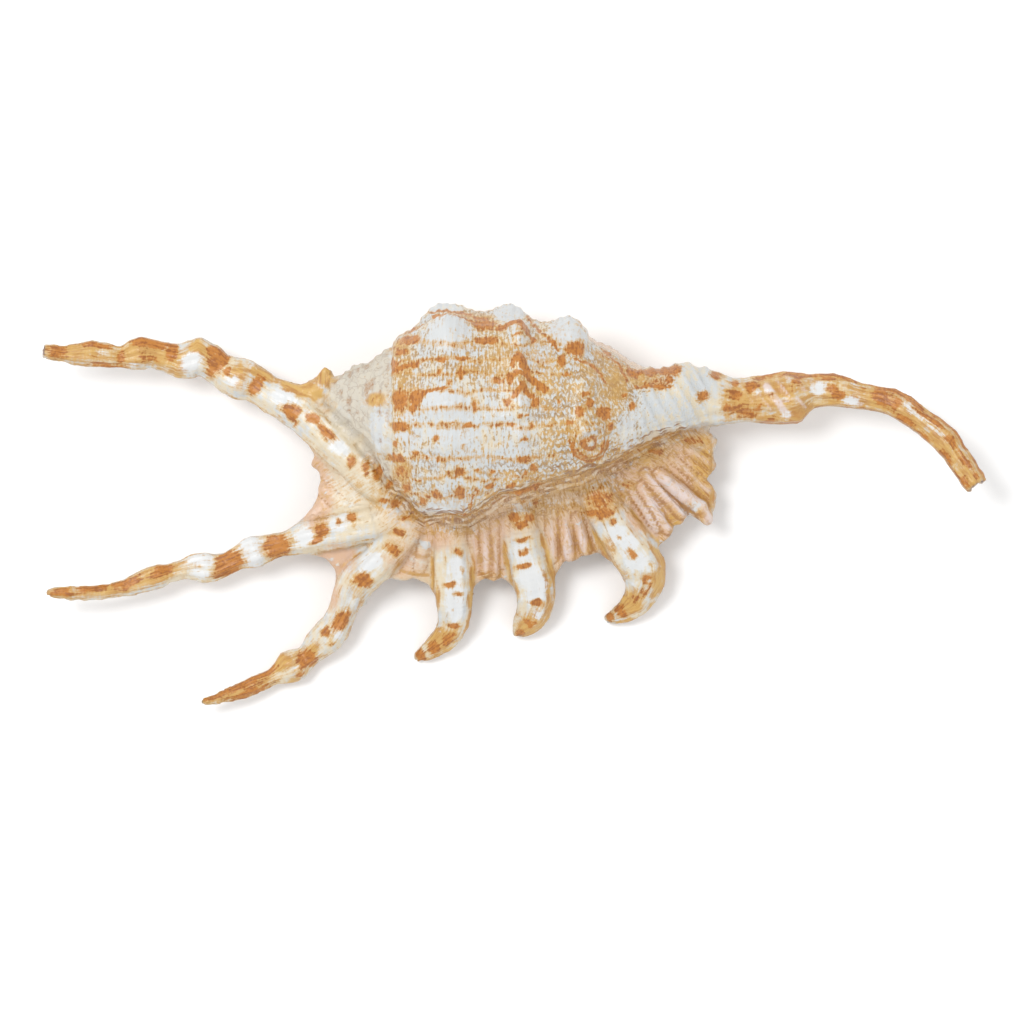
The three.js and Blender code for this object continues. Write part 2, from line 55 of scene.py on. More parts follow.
# The body along its length: x, back edge y, lip edge y, middle height, rise above it, drop below it
WHORL = np.array([
    (-31.4, 18.9, 16.4, 13.0, 1.2, 1.2), (-30.2, 21.4, 14.8, 13.0, 2.9, 2.8),
    (-28.4, 21.8, 13.0, 13.0, 4.6, 4.4), (-26.0, 23.2, 10.8, 13.0, 6.3, 6.0),
    (-23.7, 23.8, 8.8, 13.0, 7.8, 7.5), (-22.0, 25.2, 5.8, 13.2, 9.3, 8.8),
    (-20.3, 26.5, 3.5, 13.4, 10.4, 9.8), (-19.8, 27.2, 2.8, 13.5, 12.2, 10.2),
    (-18.3, 28.5, 1.0, 13.5, 13.8, 11.2), (-16.3, 29.2, -0.8, 13.5, 15.2, 12.2),
    (-14.0, 30.3, -2.0, 13.5, 16.4, 13.0), (-10.8, 31.4, -2.7, 13.5, 17.3, 13.4),
    (-7.0, 31.8, -2.5, 13.5, 17.4, 13.5), (-2.0, 32.0, -1.3, 13.5, 17.0, 13.5),
    (3.0, 30.6, 0.2, 13.5, 16.3, 13.4), (8.0, 29.7, 2.0, 13.3, 15.3, 13.0),
    (13.0, 27.2, 3.7, 12.8, 13.6, 12.2), (16.3, 25.9, 5.2, 12.4, 12.0, 11.4),
    (20.5, 23.2, 7.8, 11.8, 9.8, 10.0), (24.7, 22.7, 10.2, 11.0, 8.0, 8.5),
    (28.8, 23.4, 11.8, 10.3, 6.8, 7.2), (32.2, 22.2, 13.2, 10.0, 4.6, 4.8),
    (34.5, 19.9, 15.5, 9.9, 2.6, 2.8),
])

# The six lip fingers and the canal: x, y, height of the middle, half width, from root to tip
FINGERS = {
    "first": [
        (-23.4, 4.6, 12.4, 3.4), (-27.0, 8.6, 12.2, 3.6), (-31.0, 12.6, 11.4, 3.75),
        (-34.5, 16.0, 10.4, 4.1), (-38.2, 17.6, 9.4, 3.3), (-40.7, 18.8, 8.8, 3.0),
        (-42.8, 20.3, 8.5, 3.1), (-44.8, 21.0, 8.3, 3.6), (-47.2, 21.8, 8.1, 3.3),
        (-48.9, 22.8, 8.0, 2.8), (-52.2, 24.9, 8.1, 3.4), (-55.6, 24.1, 8.2, 3.0),
        (-59.7, 25.3, 8.7, 2.4), (-61.7, 25.5, 9.0, 2.9), (-65.3, 24.7, 9.5, 1.8),
        (-70.0, 25.3, 10.2, 2.3), (-74.8, 25.2, 11.0, 1.4), (-78.2, 25.7, 11.6, 1.15)],
    "second": [
        (-19.4, -1.8, 11.6, 2.8), (-23.0, -3.1, 10.6, 3.0), (-27.5, -4.0, 9.2, 3.0),
        (-32.0, -4.9, 8.2, 2.9), (-35.5, -5.8, 7.6, 2.6), (-37.8, -6.4, 7.0, 2.1),
        (-42.3, -7.6, 6.1, 2.7), (-45.8, -8.8, 5.8, 2.05), (-49.7, -10.4, 5.5, 2.3),
        (-51.6, -10.45, 5.4, 2.55), (-55.0, -10.7, 5.5, 1.6), (-59.5, -12.0, 5.8, 2.05),
        (-64.3, -13.7, 6.4, 1.5), (-70.5, -14.7, 7.5, 1.25), (-77.6, -14.75, 8.8, 0.55)],
    "third": [
        (-17.0, -3.6, 11.4, 2.8), (-20.0, -6.8, 9.6, 3.0), (-23.0, -10.0, 7.9, 3.1),
        (-25.8, -12.4, 6.8, 3.2), (-27.4, -14.9, 6.0, 2.7), (-28.5, -18.0, 5.0, 2.55),
        (-30.9, -21.9, 3.9, 2.9), (-34.4, -25.3, 2.9, 1.9), (-37.6, -27.2, 2.5, 2.8),
        (-40.5, -29.0, 2.7, 1.4), (-44.7, -30.9, 3.4, 1.55), (-52.2, -33.1, 5.3, 0.6)],
    "fourth": [
        (-10.2, -3.0, 12.4, 2.8), (-10.0, -9.5, 8.6, 3.3), (-9.8, -14.4, 6.6, 3.3),
        (-9.7, -18.2, 4.8, 2.9), (-10.6, -21.4, 3.2, 2.5), (-13.5, -24.1, 1.8, 1.75),
        (-16.3, -25.8, 1.2, 0.65)],
    "fifth": [
        (1.2, -1.0, 12.8, 2.8), (2.2, -7.5, 9.0, 3.3), (3.7, -13.4, 6.4, 3.5),
        (3.9, -16.5, 4.8, 3.2), (2.8, -19.2, 3.1, 2.6), (1.1, -21.2, 1.9, 1.4),
        (0.4, -21.9, 1.6, 0.55)],
    "sixth": [
        (14.0, 1.8, 12.6, 2.9), (18.0, -4.8, 9.1, 3.7), (20.5, -8.2, 7.5, 4.05),
        (22.0, -10.7, 6.1, 3.95), (22.2, -12.8, 5.0, 3.5), (20.6, -16.6, 2.9, 2.5),
        (16.9, -18.9, 1.5, 1.15), (15.6, -19.1, 1.3, 0.55)],
    "canal": [
        (31.8, 17.8, 10.2, 5.25), (34.0, 17.5, 9.9, 4.65), (36.7, 17.3, 9.5, 3.85),
        (42.2, 17.5, 8.9, 4.1), (47.0, 17.9, 8.6, 4.5), (50.0, 18.9, 8.5, 2.95),
        (55.7, 18.7, 8.8, 2.6), (60.8, 17.7, 9.5, 2.1), (65.4, 16.0, 10.3, 2.3),
        (70.1, 12.6, 11.2, 2.3), (72.3, 10.6, 11.7, 2.3), (75.3, 6.2, 12.6, 2.1),
        (77.4, 2.9, 13.3, 1.9)],
}

# The crease where the lip leaves the body, seen from above
CREASE = [
    (-35.0, 17.0), (-31.6, 16.2), (-27.8, 13.3), (-25.5, 11.0), (-23.3, 8.3), (-21.8, 4.8),
    (-20.8, 3.0), (-18.6, 1.8), (-17.3, 0.5), (-16.0, -1.5), (-14.6, -2.3), (-11.0, -1.8),
    (-7.8, -2.3), (-5.3, -1.0), (-1.6, 1.5), (0.9, 2.0), (5.2, 3.2), (11.2, 4.8),
    (16.5, 6.8), (20.9, 9.0), (23.4, 10.7), (26.0, 11.5), (32.9, 13.0)]

# Blunt nodules on the body: x, y, half length, half breadth, height
NODULES = [
    (-10.3, 28.2, 3.3, 3.0, 0.8), (1.0, 28.5, 1.6, 2.2, 0.7), (1.2, 23.2, 1.5, 1.4, 0.5),
    (1.4, 20.0, 1.4, 1.2, 0.45), (1.6, 16.0, 1.4, 1.3, 0.45), (1.9, 14.6, 1.2, 0.8, 0.25),
    (1.5, 10.8, 1.6, 1.4, 0.4), (1.4, -0.2, 1.8, 1.1, 0.6), (9.7, 28.3, 3.2, 2.9, 0.9),
    (13.0, 20.0, 2.3, 1.7, 0.6), (-10.8, 16.2, 4.2, 2.3, 0.6), (-9.8, 9.8, 4.0, 2.0, 0.3),
    (17.2, 14.8, 1.6, 2.6, 0.35), (-18.0, 18.0, 1.6, 4.0, 0.25)]
RING_NODULE = (12.7, 10.2, 2.1, 0.55)

# Folds on the lip: first end x, y, second end x, y, half width, height
LIP_FOLDS = [
    (24.7, 4.9, 31.4, -0.2, 0.95, 1.00), (31.4, -0.2, 32.9, -2.6, 0.85, 0.75),
    (22.2, 5.2, 28.3, -1.4, 0.75, 0.95), (21.5, 3.0, 26.0, -4.0, 0.70, 0.80),
    (19.6, 2.8, 24.2, -4.1, 0.50, 0.70), (17.9, 4.8, 19.7, -1.3, 0.45, 0.60),
    (19.7, -1.3, 22.4, -4.6, 0.45, 0.60), (26.8, 7.8, 30.1, 5.0, 0.60, 0.55),
    (30.3, 4.6, 33.6, 1.8, 0.80, 0.60), (29.5, 9.4, 33.4, 6.6, 0.70, 0.50),
    (6.5, -1.0, 6.6, -8.8, 0.75, 0.65), (8.8, -1.8, 9.4, -8.5, 0.80, 0.85),
    (11.0, -2.3, 12.2, -7.4, 0.75, 0.80), (13.8, -2.5, 14.4, -7.1, 0.55, 0.60),
    (-6.4, -3.4, -6.3, -10.5, 0.70, 0.60), (-4.6, -3.2, -4.2, -11.0, 0.70, 0.65),
    (-2.9, -3.0, -2.8, -11.3, 0.60, 0.55), (-1.3, -2.2, -1.3, -9.8, 0.65, 0.60),
    (-14.0, -4.5, -15.4, -10.5, 0.80, 0.45), (-17.0, -6.0, -19.5, -10.5, 0.70, 0.35),
    (-28.0, -0.5, -32.5, 3.5, 0.90, 0.35)]

# From here on towards the canal the folds run nearly up to the crease
LOBE_X = 17.0

# The places, from the lip to the back edge, of the rows of dashes that run along the body
BAND_LEVELS = (1.6, 4.4, 7.6, 12.9, 15.8, 18.6, 21.4, 23.7, 26.3)

# The smooth edge of the callus that shows behind the body
CALLUS_RIM = [(13.2, 27.6), (17.2, 26.0), (21.0, 23.0)]

# Rust marks on the body and on the lip: x, y, half length, half breadth, strength
BODY_RUST = [
    (-22.4, 17.3, 1.9, 1.1, 0.42), (-29.5, 11.8, 0.5, 0.4, 0.6), (-22.0, 8.4, 1.0, 0.3, 0.45),
    (-16.8, 27.2, 2.0, 0.8, 1), (-18.1, 25.2, 1.2, 0.6, 0.9), (-19.5, 23.0, 0.7, 1.2, 1),
    (-18.3, 17.2, 1.5, 1.7, 1), (-15.6, 17.5, 1.3, 1.5, 0.9), (-11.5, 23.7, 1.0, 0.5, 1),
    (-8.6, 24.0, 1.7, 0.5, 0.85), (-4.3, 26.8, 2.2, 0.7, 0.95), (-4.8, 29.5, 2.2, 1.0, 0.9),
    (-1.8, 29.0, 1.2, 0.6, 0.8), (0.0, 29.6, 1.2, 0.4, 1), (1.0, 27.6, 0.8, 0.3, 0.8),
    (-0.5, 20.8, 0.8, 0.8, 0.95), (-2.5, 20.3, 1.5, 0.5, 0.7), (-8.4, 21.5, 0.6, 1.2, 0.85),
    (-11.8, 21.7, 0.5, 0.6, 0.75), (-10.2, 20.0, 0.5, 1.0, 0.7), (3.9, 16.7, 0.8, 0.9, 0.95),
    (-0.5, 16.8, 0.8, 0.7, 0.85), (-6.0, 16.3, 0.6, 1.1, 0.85), (1.3, 14.5, 0.4, 0.3, 0.9),
    (2.3, 14.6, 0.5, 0.3, 0.9), (-18.3, 12.8, 1.8, 0.8, 1), (-19.0, 10.1, 0.5, 0.5, 0.9),
    (-15.8, 8.5, 0.5, 0.5, 0.8), (-19.3, 7.6, 1.5, 0.7, 1), (-18.3, 5.5, 1.7, 1.2, 0.65),
    (-17.3, 2.8, 1.1, 1.1, 0.8), (-6.9, 13.0, 0.9, 0.5, 1), (-10.0, 13.5, 2.3, 0.4, 0.6),
    (0.0, 13.2, 0.8, 0.4, 0.9), (3.2, 13.0, 0.4, 0.4, 0.8), (-12.4, 10.8, 0.7, 0.5, 0.8),
    (1.9, 10.8, 0.9, 0.4, 0.9), (-8.2, 9.5, 0.5, 0.8, 0.6), (-11.8, 7.2, 0.5, 0.4, 0.75),
    (1.7, 7.3, 1.2, 0.6, 0.9), (-8.5, 5.5, 1.1, 0.8, 0.95), (-10.3, 5.2, 0.7, 0.5, 0.6),
    (-5.5, 5.4, 0.5, 0.4, 0.8), (-3.5, 5.3, 0.8, 0.4, 0.8), (2.2, 5.3, 0.5, 0.5, 0.85),
    (3.7, 6.0, 0.7, 0.8, 0.8), (-8.5, 2.2, 0.9, 1.0, 1), (-12.5, 1.7, 1.0, 1.1, 0.85),
    (-14.6, 0.7, 0.8, 1.1, 0.8), (-5.6, 2.6, 0.6, 0.5, 0.75), (-3.6, 3.1, 0.7, 0.6, 0.9),
    (0.0, 3.1, 1.0, 0.5, 0.85), (-8.5, -1.8, 1.5, 0.3, 0.9), (4.0, 0.5, 0.8, 0.8, 0.8),
    (1.9, 0.6, 0.8, 0.3, 0.8), (10.4, 25.5, 1.6, 1.2, 1), (11.0, 29.5, 0.7, 0.6, 0.6),
    (8.2, 23.5, 0.7, 0.9, 0.9), (8.9, 21.4, 0.7, 0.5, 0.85), (11.9, 18.2, 0.8, 0.5, 0.9),
    (12.6, 16.6, 0.6, 0.7, 0.95), (11.2, 15.1, 0.8, 0.8, 1), (14.9, 15.0, 1.3, 1.1, 0.95),
    (16.0, 13.0, 0.8, 1.0, 0.8), (7.8, 16.8, 0.5, 0.5, 0.7), (9.7, 17.3, 0.5, 0.4, 0.7),
    (18.4, 18.2, 0.5, 0.5, 0.85), (19.8, 16.2, 0.7, 0.6, 0.9), (9.4, 13.6, 0.9, 0.6, 0.8),
    (11.4, 11.3, 0.7, 0.7, 0.8), (14.0, 11.5, 0.6, 0.8, 0.85), (12.2, 8.8, 1.2, 0.7, 0.9),
    (13.4, 9.3, 0.8, 0.8, 0.7), (10.5, 9.5, 0.5, 1.0, 0.8), (23.9, 20.2, 2.7, 1.5, 0.6),
    (26.0, 20.7, 0.8, 1.0, 0.8), (31.7, 18.0, 1.1, 0.9, 0.9), (34.0, 21.5, 1.2, 0.7, 0.85)]
LIP_RUST = [
    (-26.6, 7.3, 0.7, 1.3, 0.9), (-24.1, 6.2, 0.7, 1.7, 0.85), (-22.4, 5.2, 0.7, 1.3, 0.85),
    (-21.2, 0.7, 1.2, 0.8, 0.7), (-19.5, 0.3, 1.0, 1.0, 0.8), (-20.5, 3.4, 0.7, 1.0, 0.8),
    (-17.6, -2.2, 1.5, 0.7, 0.7), (-19.0, -4.6, 1.6, 0.8, 0.7), (0.5, -2.0, 1.0, 0.8, 1),
    (2.9, -2.0, 1.0, 0.8, 1), (1.5, -3.2, 1.2, 0.7, 0.9), (14.7, 1.0, 3.0, 2.7, 0.68),
    (14.2, -1.3, 2.5, 0.6, 0.95), (18.9, 3.2, 1.7, 1.3, 0.6), (29.7, 10.8, 3.7, 1.2, 0.6),
    (23.9, 8.8, 2.0, 0.8, 0.7)]

# Rust streaks: first end x, y, second end x, y, half width, strength
RUST_STREAKS = [
    (-16.2, 15.6, -14.4, 18.3, 0.55, 1.0), (-13.8, 18.7, -10.8, 19.1, 0.25, 0.9),
    (-19.8, 21.8, -15.3, 23.2, 0.4, 0.9), (1.2, 29.7, 3.5, 26.7, 0.5, 0.95),
    (1.0, 24.5, -0.1, 22.7, 0.4, 1), (1.0, 24.5, 2.9, 21.2, 0.5, 1),
    (-0.5, 20.3, 0.9, 21.7, 0.5, 0.9), (0.9, 21.7, 2.9, 20.7, 0.5, 1),
    (2.9, 20.7, 5.5, 19.0, 0.6, 1), (1.5, 19.7, 0.4, 17.8, 0.5, 0.95),
    (1.5, 19.7, 3.2, 17.7, 0.5, 0.95), (1.0, 1.8, 4.4, 3.0, 0.4, 1),
    (-6.3, 1.5, -6.8, -0.8, 0.2, 0.8), (14.0, 25.2, 18.5, 22.4, 0.9, 0.5),
    (19.7, 21.9, 27.5, 22.4, 0.8, 1), (20.4, 19.5, 26.0, 19.5, 0.4, 0.8),
    (40.9, 18.3, 46.0, 14.7, 0.4, 0.5)]

# Pale slanting ribs on the canal
CANAL_RIBS = [
    (42.4, 19.6, 45.8, 14.9, 0.60, 1.0), (45.4, 21.6, 48.6, 19.2, 0.35, 0.7),
    (39.8, 20.6, 41.2, 18.6, 0.35, 0.6), (47.2, 17.8, 48.8, 16.2, 0.30, 0.7),
    (44.0, 20.8, 46.6, 17.6, 0.30, 0.6), (41.0, 18.6, 43.2, 15.6, 0.30, 0.6),
    (38.4, 19.6, 40.0, 17.2, 0.25, 0.5), (46.6, 21.4, 49.4, 18.6, 0.25, 0.5)]

# Thin rust threads, one on each growth edge
THREADS = [
    [(-13.0, 30.9), (-10.5, 31.3), (-7.2, 30.3), (-4.2, 29.5)],
    [(-20.2, 26.0), (-19.2, 27.9), (-17.2, 28.8), (-14.6, 29.6)],
    [(17.0, 25.4), (19.2, 23.2), (20.6, 20.8)],
    [(-13.6, 31.7), (-11.1, 32.2), (-7.0, 31.2), (-4.0, 30.5), (-2.0, 29.3), (0.4, 29.8)],
    [(10.5, 23.8), (12.7, 23.2), (14.2, 21.8), (15.2, 20.2)],
    [(2.5, 31.0), (5.5, 27.8), (7.4, 25.5)],
    [(15.2, 25.8), (17.7, 23.2), (19.0, 20.2)]]

# Places on the skin, each as x, y, half length, half breadth, strength: the white and the gold of the
# body and the lip, the blush, the lilac, the chalk of the spire and the first finger's root, the
# greyer and creamier grounds, and the tan speckle
WHITE_PLACES = [
    (-21.9, 12.4, 1.7, 3.8, 0.8), (-24.6, 7.8, 1.3, 1.3, 0.8), (12.7, 10.4, 2.2, 2.4, 0.62),
    (6.0, 0.5, 9.0, 1.3, 0.42), (-10.0, -4.0, 9.0, 1.2, 0.42), (15.0, 3.2, 5.0, 1.6, 0.5),
    (-20.5, 0.2, 3.0, 1.6, 0.45), (22.0, 6.0, 5.0, 1.4, 0.35), (-10.3, 28.2, 3.3, 2.8, 1),
    (-11.1, 32.7, 2.8, 1.0, 1), (-10.3, 16.7, 4.0, 2.5, 1), (-9.5, 11.3, 4.7, 2.3, 0.75),
    (-2.0, 15.0, 2.7, 2.0, 0.6), (-0.3, 31.8, 2.5, 1.7, 1), (1.2, 28.7, 1.3, 1.7, 0.7),
    (1.7, 22.3, 0.8, 0.6, 0.8), (1.5, 17.7, 1.3, 1.0, 0.95), (1.5, 12.3, 1.7, 1.2, 0.8),
    (1.5, 9.2, 1.2, 1.0, 0.7), (1.4, -0.5, 1.5, 1.0, 0.8), (9.2, 28.5, 3.3, 2.7, 1),
    (30.2, 18.2, 4.5, 5.5, 1), (23.9, 14.5, 4.7, 4.0, 0.95), (19.0, 12.2, 2.3, 4.0, 0.75),
    (-17.5, 14.7, 1.3, 0.8, 1), (-18.0, 11.2, 1.5, 0.8, 0.8), (-12.0, -0.5, 4.7, 1.3, 0.9),
    (-8.3, 0.2, 1.5, 1.3, 1), (13.0, 10.8, 1.2, 0.7, 0.6), (-9.8, 3.8, 3.7, 1.3, 0.45),
    (-15.3, 10.0, 2.3, 2.0, 0.5), (4.7, 24.2, 1.7, 2.0, 0.5), (-29.0, 10.5, 2.3, 1.3, 0.9),
    (-34.3, 14.2, 0.8, 0.7, 0.7), (-34.6, -5.3, 2.0, 1.5, 0.95), (-29.0, -3.2, 3.0, 1.3, 0.6),
    (-29.0, -21.8, 1.3, 1.3, 0.85), (-26.6, -16.5, 2.2, 2.0, 0.6), (-22.3, -8.8, 1.7, 1.5, 0.6),
    (-32.3, -23.0, 1.0, 0.8, 0.5), (-9.5, -16.3, 2.0, 3.7, 1), (-9.1, -10.0, 1.5, 2.3, 0.8),
    (3.5, -12.8, 2.3, 3.7, 1), (4.4, -18.3, 1.7, 1.0, 0.8), (1.4, -7.8, 1.5, 2.0, 0.8),
    (18.4, -4.5, 1.8, 2.3, 1), (21.4, -8.8, 2.5, 2.0, 1), (22.7, -14.2, 1.3, 1.0, 0.5),
    (29.7, -0.5, 2.3, 1.5, 0.6), (25.0, 3.2, 1.3, 1.0, 0.5)]
GOLD_PLACES = [
    (-22.4, 17.3, 1.9, 1.2, 1.0), (-17.8, 5.6, 2.2, 2.4, 0.7), (34.0, 1.2, 1.6, 3.4, 1),
    (-7.0, 22.5, 8.0, 2.6, 0.45), (-8.0, 26.0, 5.0, 1.3, 0.45), (2.0, 19.5, 4.0, 1.8, 0.5),
    (-1.0, 25.0, 3.0, 2.5, 0.5), (6.0, 27.5, 3.0, 2.5, 0.5), (13.0, 22.0, 3.0, 2.0, 0.6),
    (17.2, 20.0, 3.0, 4.0, 0.65), (-12.0, 7.0, 7.0, 3.0, 0.20), (0.0, 5.0, 9.0, 2.2, 0.35),
    (12.0, 12.5, 6.0, 6.0, 0.32), (12.8, 9.6, 2.6, 2.8, 0.7), (8.0, 3.0, 11.0, 1.6, 0.55),
    (-24.0, -1.5, 5.0, 2.2, 0.3), (22.0, 7.6, 7.0, 1.6, 0.55), (-17.3, 17.5, 3.0, 10.0, 0.5),
    (-18.3, 25.8, 2.0, 2.3, 0.6), (-5.6, 30.8, 4.3, 1.5, 0.6), (-34.5, 20.2, 4.7, 2.4, 1),
    (-30.9, 21.6, 1.9, 2.2, 1), (4.7, 20.5, 2.0, 1.7, 0.4), (14.7, 23.3, 2.3, 3.3, 0.5),
    (21.4, 20.8, 4.3, 2.0, 0.6), (32.4, 7.2, 2.3, 4.7, 1), (32.2, 0.8, 2.3, 3.0, 1),
    (26.7, -2.5, 1.7, 1.7, 0.8), (25.0, -7.8, 1.5, 2.3, 0.9), (23.9, -11.7, 1.7, 3.0, 0.6),
    (13.0, -7.2, 2.7, 1.2, 0.6), (-4.5, -11.7, 2.7, 1.3, 0.6), (-17.0, -11.7, 4.3, 1.3, 0.35),
    (-22.0, -0.8, 3.7, 2.3, 0.4), (-27.8, -0.8, 5.0, 2.0, 0.25), (-21.1, -13.3, 2.0, 1.7, 0.6),
    (-13.6, -15.8, 1.5, 3.3, 0.4)]
BLUSH_PLACES = [
    (-32.8, 0.8, 2.4, 5.7, 0.95), (-33.3, 7.2, 1.3, 2.0, 0.6), (-27.8, 3.8, 3.7, 3.3, 0.2),
    (-29.0, -9.2, 2.7, 2.3, 1), (-30.3, -14.2, 1.7, 3.7, 0.8), (-17.8, -9.2, 4.3, 2.7, 0.6),
    (-12.8, -5.8, 3.0, 2.3, 0.6), (-4.1, -8.3, 2.8, 3.7, 0.85), (-2.0, -4.2, 1.7, 2.7, 0.5),
    (9.4, -5.8, 2.8, 3.0, 0.8), (24.7, 0.8, 5.0, 5.3, 1), (21.4, 5.8, 4.0, 3.0, 0.6),
    (29.7, 6.7, 3.0, 4.0, 0.5), (21.4, -1.7, 2.3, 3.0, 0.9), (37.2, 17.5, 2.7, 3.0, 0.4),
    (-75.3, 25.5, 4.0, 1.7, 0.5), (-72.8, -14.5, 5.7, 1.3, 0.6), (-47.8, -31.7, 5.3, 1.3, 0.5),
    (75.5, 4.5, 2.0, 2.3, 0.5)]
LILAC_PLACES = [
    (27.5, 2.0, 2.3, 1.3, 1), (23.7, -1.2, 1.8, 3.3, 0.9), (30.7, -0.5, 1.3, 0.8, 0.5),
    (-32.0, 4.5, 1.0, 2.3, 0.4), (20.7, 0.8, 1.0, 3.0, 0.5)]
CHALK_PLACES = [
    (-26.6, 16.7, 5.0, 6.0, 1), (-22.3, 12.5, 2.3, 5.0, 0.9), (-24.0, 20.8, 4.0, 3.3, 0.9),
    (-23.8, -2.0, 1.7, 1.3, 0.9), (-27.8, 10.8, 2.0, 1.3, 0.5), (31.0, 9.8, 1.7, 1.3, 0.6)]
ROOT_CHALK = [
    (-30.6, 17.0, 1.6, 1.2, 0.9), (-28.6, 14.6, 1.9, 1.3, 1.0), (-26.0, 12.8, 2.2, 1.7, 1.0),
    (-23.6, 10.0, 1.6, 2.0, 1.0)]
GREY_PLACES = [
    (-4.0, 7.5, 8.0, 4.5, 0.9), (-8.0, 14.0, 8.0, 4.0, 0.8), (5.5, 23.0, 5.0, 3.0, 0.6),
    (-9.0, 3.0, 5.0, 2.5, 0.4)]
CREAM_PLACES = [
    (-26.5, 2.5, 5.0, 5.0, 1.0), (-15.5, -9.0, 4.5, 4.0, 0.9), (-31.0, 11.0, 4.0, 3.0, 0.5)]
TAN_PLACES = [
    (-17.3, 18.3, 3.0, 9.3, 0.7), (11.0, 12.2, 6.7, 7.0, 0.75), (5.5, 16.7, 2.7, 5.7, 0.55),
    (-7.0, 23.2, 8.0, 3.7, 0.5), (-8.3, 4.2, 10.0, 2.7, 0.5), (8.0, 5.5, 11.0, 2.2, 0.6),
    (15.5, 23.3, 3.3, 4.3, 0.85), (-5.3, 26.7, 5.0, 2.0, 0.5), (5.5, 26.7, 2.7, 3.0, 0.7),
    (-12.0, -4.2, 10.0, 1.8, 0.45), (4.7, -0.3, 9.3, 2.3, 0.5), (15.5, 1.3, 5.3, 3.0, 0.5),
    (-22.0, 0.8, 4.0, 3.0, 0.5), (23.9, 9.5, 5.0, 1.7, 0.5), (21.4, 20.0, 4.3, 2.7, 0.5),
    (-2.8, 9.2, 6.0, 4.0, 0.35), (14.7, 5.8, 5.0, 2.0, 0.55), (9.7, 20.0, 5.0, 3.7, 0.5),
    (-30.3, -2.5, 5.0, 1.7, 0.35)]

# Worn places on the spire where the chalk is off, and rough ones beside it
BARE_PLACES = [(-31.4, 21.3, 2.4, 2.8, 1.0), (-22.4, 17.3, 2.0, 1.3, 1.0), (-21.9, 12.4, 1.7, 3.8, 0.8)]
ROUGH_PLACES = [(-28.0, 11.5, 5.5, 4.5, 0.8)]
# Where the body has small zigzags
STITCHED_PLACES = [
    (8.5, 19.5, 5.5, 8.0, 1.0), (12.0, 10.5, 8.5, 6.5, 1.0), (3.0, 5.0, 9.0, 2.6, 0.85),
    (17.5, 19.0, 3.5, 5.0, 0.9), (-3.0, 21.5, 4.0, 3.0, 0.5), (-13.5, 6.0, 4.0, 4.0, 0.55)]
# Rust that lies in fine rows, and rust that is only a thin veil
ROWED_RUST = [(10.5, 12.5, 6.0, 7.0, 0.46), (14.5, 17.0, 5.0, 4.5, 0.46), (6.0, 22.0, 3.0, 3.0, 0.32)]
THIN_RUST = [
    (-6.0, 9.0, 13.0, 9.0, 0.22), (2.0, 24.0, 14.0, 7.0, 0.34), (8.0, 4.0, 13.0, 2.2, 0.40),
    (-8.0, 1.5, 9.0, 2.5, 0.34), (22.0, 8.5, 8.0, 2.0, 0.42), (16.0, 21.0, 5.0, 5.0, 0.34),
    (6.0, -0.6, 10.0, 1.8, 0.40), (-11.0, -4.2, 8.0, 1.3, 0.38), (15.5, 1.0, 4.5, 2.6, 0.50),
    (22.0, 5.5, 6.0, 2.4, 0.34), (-21.5, 1.0, 4.0, 3.0, 0.38), (-17.6, 17.0, 2.4, 9.5, 0.36)]

